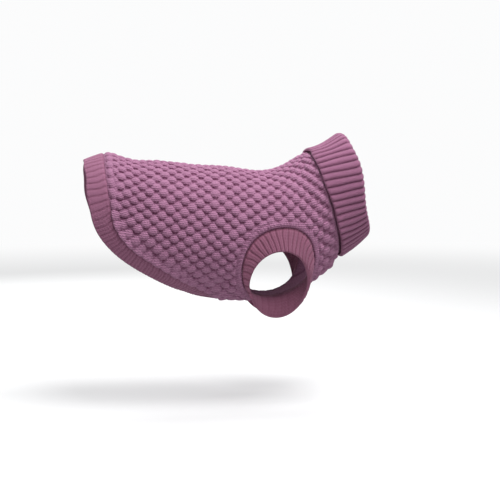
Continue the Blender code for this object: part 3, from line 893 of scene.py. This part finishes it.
# Half-width of the shallow line down the middle of a rib, in rib widths.
RIB_LINE = 0.09

# The ribs of a piece: how many, the mesh's columns and the stitches in each, the level of a groove, the
# height of a rib over it, how flat its top is (less is flatter), the depth of the line down its middle, the
# shade in a groove, and the waves in which ribs stray sideways (rib widths, length, waves round the ring).
Ribs = namedtuple("Ribs", "count columns stitches groove relief flatness line shade strays")
HEM = Ribs(HEM_RIBS, 10, 3, -0.35, 1.35, 0.42, 0.08, 0.9, ((0.07, 5.0, 9),))
# The collar's ribs are a little finer than the ones raised in its solid.
COLLAR = Ribs(50, 14, 4, -1.4, 2.7, 0.55, 0.04, 1.2, ((0.035, 9.0, 7), (0.03, 6.0, -11)))
CUFF = Ribs(CUFF_RIBS, 12, 3, -0.7, 1.7, 0.6, 0.32, 0.8, ((0.07, 0.2, 6),))


class RibbedRing:
    """Rows of points round a ribbed piece, with the shade and the place in the knit of each."""

    def __init__(self, ribs):
        self.ribs = ribs
        self.columns = ribs.count * ribs.columns
        self.loops, self.shades, self.rows, self.twists = [], [], [], []

    def ridge(self, place, around, turned_on=0.0, deeper_line=0.0):
        """0 in the groove between two ribs and 1 on a rib's top."""
        phase = np.arange(self.columns) / self.ribs.columns + turned_on
        for width, length, turns in self.ribs.strays:
            phase = phase + width * np.sin(place / length + turns * around)
        top = np.abs(np.sin(math.pi * phase)) ** self.ribs.flatness
        return top * (1 - (self.ribs.line + deeper_line) * hill(phase % 1 - 0.5, RIB_LINE))

    def height(self, level, ribbed, ridge):
        """Height over the piece's form. `ribbed` is the ribs' share of their height, negative inside."""
        return level + ribbed * (self.ribs.groove + self.ribs.relief * ridge)

    def shaded(self, shade, ribbed, ridge):
        """The shade given, or that of the ribs' grooves where it is deeper."""
        return np.maximum(shade, self.ribs.shade * abs(ribbed) * (1 - ridge))

    def add(self, points, shades, row, twist=0.0):
        """Adds a row of points. `row` is the knit's length so far, `twist` how many ribs it has moved on."""
        self.loops.append(points)
        self.shades.append(shades)
        self.rows.append(row / STITCH_HEIGHT)
        self.twists.append(np.broadcast_to(twist * self.ribs.columns, self.columns))


def ripple(waves, around):
    """Sum of sine waves round a ring, each given by its height, its count and its phase."""
    return sum(height * np.sin(count * around + phase) for height, count, phase in waves)


def between(first, last, share):
    return first + (last - first) * share


HEM_RIPPLE = ((0.7, 5, 0.6), (0.5, 11, 2.0))
# By the seam the ribs lean round the body, by a share of a rib, and straighten on their way out.
HEM_LEAN = 0.3
HEM_LEAN_RANGE = (1.0, 12.0)
# On the lower flanks the ribs are flatter and more split. By the seam they sink under the bobbles.
LOWER_LINE = 0.5
LOWER_LOSS = 0.3
TUCKED_REACH = 5.0
TUCKED_LOSS = 0.5
TUCKED_DEPTH = 0.9
TUCKED_SHADE = 0.5
# The groove at the seam.
HEM_DIP = Groove(0.6, 1.2)
HEM_DIP_SHADE = 0.35
# Length of knit round a free edge from the outside to the inside.
EDGE_TURN_LENGTH = 4.0


def make_hem(material):
    """Rib band from the hem seam towards the tail, all round the body opening."""
    ring = RibbedRing(HEM)
    around, _ = even_hem_angles(ring.columns)
    along = hem_along(around)
    heading = np.cross(ring_heading(smooth_body(along, around)), normals(smooth_body, along, around))
    wave = ripple(HEM_RIPPLE, around)
    lower = on_lower_flank(around)
    edge = HEM_WIDTH - EDGE_ROUND

    def add(distance, level, ribbed, shade, row):
        lean = HEM_LEAN * (1 - smooth_step(distance, *HEM_LEAN_RANGE)) * np.sin(around)
        ridge = ring.ridge(distance, around, lean, LOWER_LINE * lower)
        reach = distance + wave * np.clip(distance / HEM_WIDTH, 0, 1) ** 2
        place = walk(along, around, heading, reach)
        tucked = hill(distance, TUCKED_REACH) * lower
        sunk = max(0.0, ribbed) * tucked
        share = ribbed * (1 - TUCKED_LOSS * tucked) * (1 - LOWER_LOSS * lower)
        height = ring.height(level - TUCKED_DEPTH * sunk, share, ridge)
        ring.add(raised(body, *place, height), ring.shaded(shade, ribbed, ridge) + TUCKED_SHADE * sunk, row)

    add(SEAM_TUCK, level=-1.1, ribbed=0.2, shade=0.5, row=0.0)
    for distance in np.linspace(1.0, edge, 16):
        dip = hill(distance - SEAM_GAP, HEM_DIP.half_width)
        add(distance, level=-HEM_DIP.depth * dip, ribbed=1.0, shade=HEM_DIP_SHADE * dip, row=distance)
    for out, up, ribbed in ROUND_EDGE[1:]:
        distance = edge + EDGE_ROUND * out
        row = distance + EDGE_TURN_LENGTH / 2 * (1 - up)
        add(distance, level=EDGE_ROUND * (up - 1), ribbed=ribbed, shade=0.25, row=row)
    for distance in np.linspace(edge, SEAM_TUCK, 8)[1:]:
        row = 2 * HEM_WIDTH + EDGE_TURN_LENGTH - distance
        add(distance, level=-WALL, ribbed=-0.25, shade=0.45, row=row)
    return make_ring("hem_knit", ring, material)


COLLAR_TWIST = 1.55
# The free edge waves, lies further forward than the solid's, and most so on the back.
COLLAR_RIPPLE = ((0.6, 4, 1.0), (0.4, 9, 0.0))
COLLAR_FORWARD = 1.6
COLLAR_FORWARD_ON_TOP = 1.4
# By the edge the collar stands off below the flanks and lies closer on the back. Reaches are in radians.
COLLAR_FLARE = 0.9
COLLAR_FLARE_AROUND = 122.0
COLLAR_FLARE_REACH = 0.6
COLLAR_ON_TOP_REACH = 1.0
COLLAR_CLOSER = 1.1
COLLAR_EDGE_REACH = 9.0
OUTER_LAYER_LEVEL = COLLAR_LAYER_GAP - 0.5
# Round the fold the ribs get lower, down to a share of their height, and lower still at its top.
FOLD_LEAST_RIBS = 0.3
FOLD_TOP_LOSS = 0.3
# The knit's length at both ends of the outer layer, the fold, the inner layer and their hidden sides.
OUTER_ROWS = (3.0, 44.0)
FOLD_ROWS = (44.0, 56.5)
INNER_ROWS = (57.0, 95.0)
INNER_HIDDEN_ROWS = (98.0, 136.0)
FOLD_HIDDEN_ROW = 137.0
OUTER_HIDDEN_ROWS = (138.0, 176.0)


def collar_twist(place, around):
    """How far the ribs have turned towards the throat on their way to the fold, in rib widths."""
    share = np.clip(place / COLLAR_DEPTH, 0, 1)
    return COLLAR_TWIST * share * np.sin(around) * np.abs(np.sin(around))


def collar_start(around):
    """`along` at which the outer layer's round free edge ends and its ribs begin."""
    on_top = hill(from_back(around), COLLAR_ON_TOP_REACH)
    forward = ripple(COLLAR_RIPPLE, around) + COLLAR_FORWARD + COLLAR_FORWARD_ON_TOP * on_top
    return EDGE_ROUND - COLLAR_LAP + forward


def collar_looseness(place, around):
    """How far the outer layer stands off by its free edge."""
    flare = COLLAR_FLARE * hill(turned_from(from_back(around), COLLAR_FLARE_AROUND), COLLAR_FLARE_REACH)
    closer = COLLAR_CLOSER * hill(from_back(around), COLLAR_ON_TOP_REACH)
    return (flare - closer) * hill(place + COLLAR_LAP, COLLAR_EDGE_REACH)


def make_collar(material):
    """Rib tube that rises from the neck seam, turns over at its fold and lies back over the seam."""
    ring = RibbedRing(COLLAR)
    around = TURN * np.arange(ring.columns) / ring.columns
    top = COLLAR_LAYER_GAP + WALL
    middle = (top - WALL) / 2
    radius = (top + WALL) / 2
    fold = collar_fold_along(around)
    start = collar_start(around)

    def add(place, level, ribbed, shade, row):
        place = np.broadcast_to(place, around.shape)
        twist = collar_twist(place, around)
        ridge = ring.ridge(place, around, -twist)
        loose = collar_looseness(place, around) * (level > OUTER_LAYER_LEVEL)
        height = ring.height(level + loose, ribbed, ridge)
        ring.add(raised(collar_tube, place, around, height), ring.shaded(shade, ribbed, ridge), row, twist)

    def add_round_fold(turned):
        angle = math.pi * turned
        twist = collar_twist(fold, around)
        ridge = ring.ridge(fold, around, -twist)
        ribbed = max(FOLD_LEAST_RIBS, math.cos(angle / 2)) * (1 - FOLD_TOP_LOSS * math.sin(angle))
        reach = ring.height(radius, ribbed, ridge)
        place = fold + reach * math.sin(angle)
        points = raised(collar_tube, place, around, middle + reach * math.cos(angle))
        ring.add(points, ring.shaded(0.0, ribbed, ridge), between(*FOLD_ROWS, turned), twist)

    for out, up, ribbed in ROUND_EDGE[::-1]:
        level = COLLAR_LAYER_GAP + EDGE_ROUND * (1 + up)
        add(start - EDGE_ROUND * out, level, ribbed, shade=0.3, row=EDGE_ROUND * (1 + up))
    for share in np.linspace(0, 1, 26)[1:]:
        add(between(start, fold, share), top, ribbed=1.0, shade=0.0, row=between(*OUTER_ROWS, share))
    for turned in np.linspace(0, 1, 13)[1:-1]:
        add_round_fold(turned)
    for share in np.linspace(0, 1, 16):
        add(between(fold, SEAM_GAP, share), -WALL, ribbed=-0.3, shade=0.4, row=between(*INNER_ROWS, share))
    for share in (0, 0.5, 1):
        add(between(SEAM_GAP, fold, share), 0.0, 0.0, shade=1.0, row=between(*INNER_HIDDEN_ROWS, share))
    add(fold + COLLAR_LAYER_GAP / 2, middle, 0.0, shade=1.0, row=FOLD_HIDDEN_ROW)
    for share in (0, 0.5, 0.9):
        row = between(*OUTER_HIDDEN_ROWS, share)
        add(between(fold, start, share), COLLAR_LAYER_GAP, 0.0, shade=1.0, row=row)
    return make_ring("collar_knit", ring, material)


# Where the ribs run along the free edge, the wall faces away from the cuff's middle, by this weight.
CUFF_ROUNDNESS = 0.6
# How far the ribs turn on to run straight across the cuff at the leg hole's front and rear, in radians.
CUFF_RIB_LEAN = 0.35
# Shares of the cuff's length: a small step, the part in which it leaves the body, and the seam's groove.
CUFF_STEP = 0.01
CUFF_SETTLED = 0.12
CUFF_DIP = Groove(1.6, 0.09)
# The free edge is a little less round lengthwise.
CUFF_EDGE_LENGTH = 0.9

Sleeve = namedtuple("Sleeve", "side start start_normal control end")


def cuff_sleeve(turn, side):
    """The columns' curves from the armhole's edge to the free edge, each bent at its control point."""
    along, around = armhole(turn, side)
    heading = ring_heading(smooth_body(along, around))
    inward = -side * np.cross(heading, normals(smooth_body, along, around))
    start_place = walk(along, around, inward, SEAM_TUCK)
    start = body(*start_place)
    start_normal = normals(body, *start_place)
    rise = np.array([0.0, -side * CUFF_RISE_OUT, CUFF_RISE_UP])
    length = np.array([CUFF_HALF_LENGTH, 0.0, 0.0])
    centre = np.array(CUFF_CENTRE) * (1, -side, 1)
    edge_turn = turn + CUFF_RIB_LEAN * np.cos(turn)
    end = centre + np.cos(edge_turn)[:, None] * length + np.sin(edge_turn)[:, None] * rise
    inward = unit(inward)
    reach = np.linalg.norm(end - start, axis=-1, keepdims=True)
    into_hole = np.maximum(((end - start) * inward).sum(-1, keepdims=True), CUFF_LEAST_LEAN * reach)
    out_of_body = ((end - start) * start_normal).sum(-1, keepdims=True)
    leaving = unit(into_hole * inward + out_of_body * start_normal)
    return Sleeve(side, start, start_normal, start + CUFF_BEND * reach * leaving, end)


def cuff_skin(sleeve, share):
    """The cuff's outside at a share of the way from the armhole to the free edge."""
    bent = 2 * share * (1 - share) * sleeve.control
    return (1 - share) ** 2 * sleeve.start + bent + share**2 * sleeve.end


def cuff_normal(sleeve, share):
    """Unit normals out of the cuff's wall, which starts flush with the body."""
    points = cuff_skin(sleeve, share)
    down = cuff_skin(sleeve, share + CUFF_STEP) - cuff_skin(sleeve, share - CUFF_STEP)
    own = sleeve.side * np.cross(unit(ring_heading(points)), unit(down))
    certain = np.linalg.norm(own, axis=-1, keepdims=True)
    from_middle = unit(points - points.mean(axis=0))
    own = unit(own + CUFF_ROUNDNESS * (1 - certain) * from_middle)
    settled = min(1.0, share / CUFF_SETTLED)
    return unit(settled * own + (1 - settled) * sleeve.start_normal)


def make_cuff(name, side, material):
    """Short rib sleeve from the armhole's edge down to its free edge."""
    ring = RibbedRing(CUFF)
    turn = TURN * np.arange(ring.columns) / ring.columns
    sleeve = cuff_sleeve(turn, side)
    length = float(np.median(np.linalg.norm(sleeve.end - sleeve.start, axis=-1)))
    down = unit(sleeve.end - cuff_skin(sleeve, 1 - 2 * CUFF_STEP))

    def add(share, level, ribbed, shade, row, slide=0.0):
        ridge = ring.ridge(share, turn)
        height = ring.height(level, ribbed, ridge)
        points = cuff_skin(sleeve, share) + slide * down + height[:, None] * cuff_normal(sleeve, share)
        ring.add(points, ring.shaded(shade, ribbed, ridge), row)

    add(0.0, level=-1.9, ribbed=0.2, shade=1.0, row=0.0)
    for share in np.linspace(0.03, 0.94, 18):
        dip = hill(share, CUFF_DIP.half_width)
        add(share, level=-CUFF_DIP.depth * dip, ribbed=1.0, shade=dip, row=share * length)
    for out, up, ribbed in ROUND_EDGE[1:]:
        row = length + EDGE_TURN_LENGTH / 2 * (1 - up)
        slide = EDGE_ROUND * (out - 1) * CUFF_EDGE_LENGTH
        add(1.0, level=EDGE_ROUND * (up - 1), ribbed=ribbed, shade=0.25, row=row, slide=slide)
    for share in np.linspace(0.92, 0.0, 9):
        row = 2 * length + EDGE_TURN_LENGTH - share * length
        add(share, level=-WALL, ribbed=-0.45, shade=0.4, row=row)
    return make_ring(name, ring, material)


# ---- materials


class Nodes:
    """Adds nodes to a material and joins their sockets."""

    def __init__(self, tree):
        self.tree = tree

    def add(self, kind, inputs=None, **settings):
        node = self.tree.nodes.new(kind)
        for key, value in settings.items():
            setattr(node, key, value)
        for key, value in (inputs or {}).items():
            self.join(value, node.inputs[key])
        return node

    def join(self, value, socket):
        if isinstance(value, bpy.types.NodeSocket):
            self.tree.links.new(value, socket)
        else:
            socket.default_value = value

    def math(self, operation, *values, clamp=False):
        node = self.add("ShaderNodeMath", operation=operation, use_clamp=clamp)
        for value, socket in zip(values, node.inputs):
            self.join(value, socket)
        return node.outputs[0]

    def mix(self, share, low, high):
        node = self.add("ShaderNodeMix", data_type="RGBA")
        self.join(share, node.inputs["Factor"])
        self.join(low, node.inputs[6])
        self.join(high, node.inputs[7])
        return node.outputs[2]


# How far a stitch's legs slant, in courses, and how much of its height comes from the courses' own relief.
LEG_SLANT = -0.9
COURSE_SHARE = 0.65
# Noise scales of the colour's patches and of the fibres, and how much the fibres add to the bump.
PATCH_SCALE = 22.0
FIBRE_SCALE = 430.0
NOISE_DETAIL = 3.0
FIBRE_BUMP = 0.35
BUMP_STRENGTH = 0.8
# Depth of the yarn's colour, from 0 to 1: painted shade between stitches, less of it on their tops, and
# what the rest adds: the painted shade of bobbles, ribs and seams, and random darker fibres and patches.
STITCH_GAP_SHADE = 0.29
STITCH_TOP_SHADE = -0.48
SHADE_DEPTH = 0.8
FIBRE_DEPTH = 0.34
PATCH_DEPTH = 0.3
WOOL = {
    "Roughness": 0.92,
    "Specular IOR Level": 0.15,
    "Sheen Weight": 0.22,
    "Sheen Roughness": 0.5,
    "Sheen Tint": (1.0, 0.7, 0.88, 1),
}


def rounded(nodes, share):
    """1 in the middle of a strand and 0 on its sides, for a share that runs from 0 to 1 across it."""
    aside = nodes.math("ABSOLUTE", nodes.math("MULTIPLY_ADD", share, 2.0, -1.0))
    return nodes.math("SUBTRACT", 1.0, nodes.math("MULTIPLY", aside, aside))


def stitch_height(nodes):
    """Columns of V-shaped stitches: two slanting legs a stitch, each a rounded strand."""
    mapped = nodes.add("ShaderNodeUVMap", uv_map="knit").outputs[0]
    parts = nodes.add("ShaderNodeSeparateXYZ", {0: mapped})
    across = nodes.math("FRACT", parts.outputs[0])
    from_middle = nodes.math("MULTIPLY", nodes.math("ABSOLUTE", nodes.math("SUBTRACT", across, 0.5)), 2.0)
    slanted = nodes.math("FRACT", nodes.math("MULTIPLY_ADD", from_middle, LEG_SLANT, parts.outputs[1]))
    course = nodes.math("MULTIPLY_ADD", rounded(nodes, slanted), COURSE_SHARE, 1 - COURSE_SHARE)
    return nodes.math("MULTIPLY", rounded(nodes, from_middle), course)


def knit_material(name, light, deep, stitch_depth):
    """Matt fuzzy yarn, darker between stitches and in the shade of bobbles, ribs and seams: painted shade in
    its colour.
    """
    material = bpy.data.materials.new(name)
    material.use_nodes = True
    nodes = Nodes(material.node_tree)
    shader = material.node_tree.nodes["Principled BSDF"]
    noise = {"Vector": nodes.add("ShaderNodeTexCoord").outputs["Object"], "Detail": NOISE_DETAIL}
    patches = nodes.add("ShaderNodeTexNoise", {**noise, "Scale": PATCH_SCALE}).outputs[0]
    fibres = nodes.add("ShaderNodeTexNoise", {**noise, "Scale": FIBRE_SCALE}).outputs[0]
    stitch = stitch_height(nodes)
    shade = nodes.add("ShaderNodeAttribute", attribute_name="shade").outputs["Fac"]
    # Painted shade: darker between stitches and where the shade attribute is high. Fibres and patches add
    # random tone.
    depth = nodes.math("MULTIPLY_ADD", stitch, STITCH_TOP_SHADE, STITCH_GAP_SHADE)
    depth = nodes.math("MULTIPLY_ADD", shade, SHADE_DEPTH, depth)
    depth = nodes.math("SUBTRACT", depth, FIBRE_DEPTH / 2)
    depth = nodes.math("MULTIPLY_ADD", fibres, FIBRE_DEPTH, depth)
    depth = nodes.math("SUBTRACT", depth, PATCH_DEPTH / 2)
    depth = nodes.math("MULTIPLY_ADD", patches, PATCH_DEPTH, depth, clamp=True)
    nodes.join(nodes.mix(depth, (*light, 1), (*deep, 1)), shader.inputs["Base Color"])
    for key, value in WOOL.items():
        shader.inputs[key].default_value = value
    height = nodes.math("MULTIPLY_ADD", fibres, FIBRE_BUMP, stitch)
    settings = {"Strength": BUMP_STRENGTH, "Distance": stitch_depth * MM, "Height": height}
    nodes.join(nodes.add("ShaderNodeBump", settings).outputs[0], shader.inputs["Normal"])
    return material


# ---- the jumper

# Each piece's yarn colour, and the deep colour towards which painted shade and random darker fibres and
# patches pull it.
BODY_YARN = (0.478, 0.222, 0.366)
BODY_DEEP = (0.13, 0.026, 0.075)
COLLAR_YARN = (0.41, 0.17, 0.292)
COLLAR_DEEP = (0.09, 0.022, 0.055)
HEM_YARN = (0.41, 0.17, 0.28)
HEM_DEEP = (0.12, 0.03, 0.065)
CUFF_YARN = (0.42, 0.162, 0.26)
CUFF_DEEP = (0.10, 0.02, 0.045)

bobble_knit = knit_material("bobble_knit", BODY_YARN, BODY_DEEP, 1.1)
collar_rib = knit_material("collar_rib", COLLAR_YARN, COLLAR_DEEP, 0.6)
hem_rib = knit_material("hem_rib", HEM_YARN, HEM_DEEP, 0.6)
cuff_rib = knit_material("cuff_rib", CUFF_YARN, CUFF_DEEP, 0.6)


def make_body_panel(name, is_back):
    """The back panel, which reaches down both flanks to the side seams, or the belly panel between them."""
    gap = SEAM_GAP / 2 / MEAN_RADIUS
    right = side_outline(-gap if is_back else gap, over_the_top=is_back)
    mirror = 0.0 if is_back else TURN
    left = [(along, mirror - around) for along, around in right[::-1]]
    seam = right[0][1]
    neck = [(NECK_ALONG, angle) for angle in line(mirror - seam, seam, EDGE_PITCH / MEAN_RADIUS)[1:-1]]
    outline = right + hem_outline(seam, across_back=is_back) + left + neck
    return make_panel(name, outline, bobble_knit)


def place_piece(piece, node):
    """Puts the piece in the frame under its root, and hides the solid that it replaces."""
    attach(piece, "root")
    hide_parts(node)


place_piece(make_body_panel("back_knit", True), "back_panel")
place_piece(make_body_panel("belly_knit", False), "belly_panel")
place_piece(make_collar(collar_rib), "roll_collar")
place_piece(make_hem(hem_rib), "hem_band")
place_piece(make_cuff("cuff_right_knit", 1, cuff_rib), "cuff_right")
place_piece(make_cuff("cuff_left_knit", -1, cuff_rib), "cuff_left")


# ---- floor, light and camera

FLOOR_Z = -284.0
FLOOR_CORNERS = 96
FLOOR_ROUGHNESS = 0.9
# The floor's radius, and the distances between which it turns into shining background, in metres.
FLOOR_RADIUS = 60.0
FLOOR_NEAR = 0.5
FLOOR_FAR = 2.5
BACKGROUND = (0.97, 0.972, 0.975)
AMBIENT = 0.34
# The floor throws back less light than it shows, as a floor further away would.
FLOOR_COLOUR = (0.88, 0.885, 0.89)
FLOOR_BOUNCE = (0.42, 0.42, 0.42)


def pale_light(nodes):
    """Strength of the pale backdrop's own light: full where it is seen, and less where it lights things."""
    seen = nodes.add("ShaderNodeLightPath").outputs["Is Camera Ray"]
    return nodes.math("MULTIPLY_ADD", seen, 1 - AMBIENT, AMBIENT)


def make_world():
    world = bpy.data.worlds.new("studio")
    world.use_nodes = True
    nodes = Nodes(world.node_tree)
    background = world.node_tree.nodes["Background"]
    nodes.join((*BACKGROUND, 1), background.inputs["Color"])
    nodes.join(pale_light(nodes), background.inputs["Strength"])
    bpy.context.scene.world = world


def floor_material():
    """A pale matt floor whose far part shines like the background, so that no horizon shows."""
    material = bpy.data.materials.new("floor")
    material.use_nodes = True
    nodes = Nodes(material.node_tree)
    shader = material.node_tree.nodes["Principled BSDF"]
    seen = nodes.add("ShaderNodeLightPath").outputs["Is Camera Ray"]
    nodes.join(nodes.mix(seen, (*FLOOR_BOUNCE, 1), (*FLOOR_COLOUR, 1)), shader.inputs["Base Color"])
    shader.inputs["Roughness"].default_value = FLOOR_ROUGHNESS
    place = nodes.add("ShaderNodeTexCoord").outputs["Object"]
    away = nodes.add("ShaderNodeVectorMath", {0: place}, operation="LENGTH").outputs["Value"]
    share = nodes.add("ShaderNodeMapRange", {"Value": away, "From Min": FLOOR_NEAR, "From Max": FLOOR_FAR})
    share.interpolation_type = "SMOOTHSTEP"
    glow = nodes.add("ShaderNodeEmission", {"Color": (*BACKGROUND, 1), "Strength": pale_light(nodes)})
    both = nodes.add("ShaderNodeMixShader", {0: share.outputs[0], 1: shader.outputs[0], 2: glow.outputs[0]})
    nodes.join(both.outputs[0], material.node_tree.nodes["Material Output"].inputs["Surface"])
    return material


def make_floor():
    """A wide round floor."""
    angles = TURN * np.arange(FLOOR_CORNERS) / FLOOR_CORNERS
    points = FLOOR_RADIUS * np.column_stack([np.cos(angles), np.sin(angles), np.zeros(FLOOR_CORNERS)])
    mesh = bpy.data.meshes.new("floor")
    mesh.from_pydata(points.tolist(), [], [tuple(range(FLOOR_CORNERS))])
    floor = bpy.data.objects.new("floor", mesh)
    floor.location.z = FLOOR_Z * MM
    bpy.context.scene.collection.objects.link(floor)
    mesh.materials.append(floor_material())


def look_along(right, up, back, position):
    """Matrix of a lamp or camera at a position, with the directions of its own axes."""
    columns = (right, up, back, position)
    return Matrix([[column[k] for column in columns] for k in range(3)] + [[0, 0, 0, 1]])


Lamp = namedtuple("Lamp", "name x y z width depth watts")
LAMPS = (
    Lamp("key", 0.3, -0.65, 1.3, 0.9, 0.8, 23.0),
    Lamp("top", 0.0, 0.45, 1.3, 1.4, 1.0, 11.0),
    Lamp("fill", 0.5, -1.4, 0.2, 0.9, 0.9, 1.6),
    Lamp("back", -0.3, 1.3, 0.45, 1.2, 0.9, 7.0),
)
LIT_POINT = (-0.04, 0.0, -0.06)


def make_lamps():
    for lamp in LAMPS:
        light = bpy.data.lights.new(lamp.name, "AREA")
        light.shape = "RECTANGLE"
        light.size = lamp.width
        light.size_y = lamp.depth
        light.energy = lamp.watts
        item = bpy.data.objects.new(lamp.name, light)
        position = np.array([lamp.x, lamp.y, lamp.z])
        away = unit(position - np.array(LIT_POINT))
        side = unit(np.cross((0.0, 0.0, 1.0), away))
        item.matrix_world = look_along(side, np.cross(away, side), away, position)
        bpy.context.scene.collection.objects.link(item)


VIEW_AZIMUTH = -9.0
VIEW_ELEVATION = 5.0
LENS = 85.0
SENSOR = 36.0
PIXELS = 500
MM_PER_PIXEL = 1.2
# Where the origin appears in the picture, in pixels from its middle.
ORIGIN_RIGHT = 12
ORIGIN_UP = 80


def make_camera():
    azimuth, elevation = math.radians(VIEW_AZIMUTH), math.radians(VIEW_ELEVATION)
    right = np.array([math.cos(azimuth), math.sin(azimuth), 0.0])
    level = math.cos(elevation)
    forward = np.array([-math.sin(azimuth) * level, math.cos(azimuth) * level, -math.sin(elevation)])
    up = np.cross(right, forward)
    distance = LENS / SENSOR * PIXELS * MM_PER_PIXEL * MM
    target = -(ORIGIN_RIGHT * right + ORIGIN_UP * up) * MM_PER_PIXEL * MM
    position = target - distance * forward
    camera = bpy.data.objects.new("camera", bpy.data.cameras.new("camera"))
    camera.data.lens = LENS
    camera.data.sensor_width = SENSOR
    camera.matrix_world = look_along(right, up, -forward, position)
    bpy.context.scene.collection.objects.link(camera)
    bpy.context.scene.camera = camera


make_world()
make_floor()
make_lamps()
make_camera()
bpy.context.scene.view_settings.view_transform = "Standard"
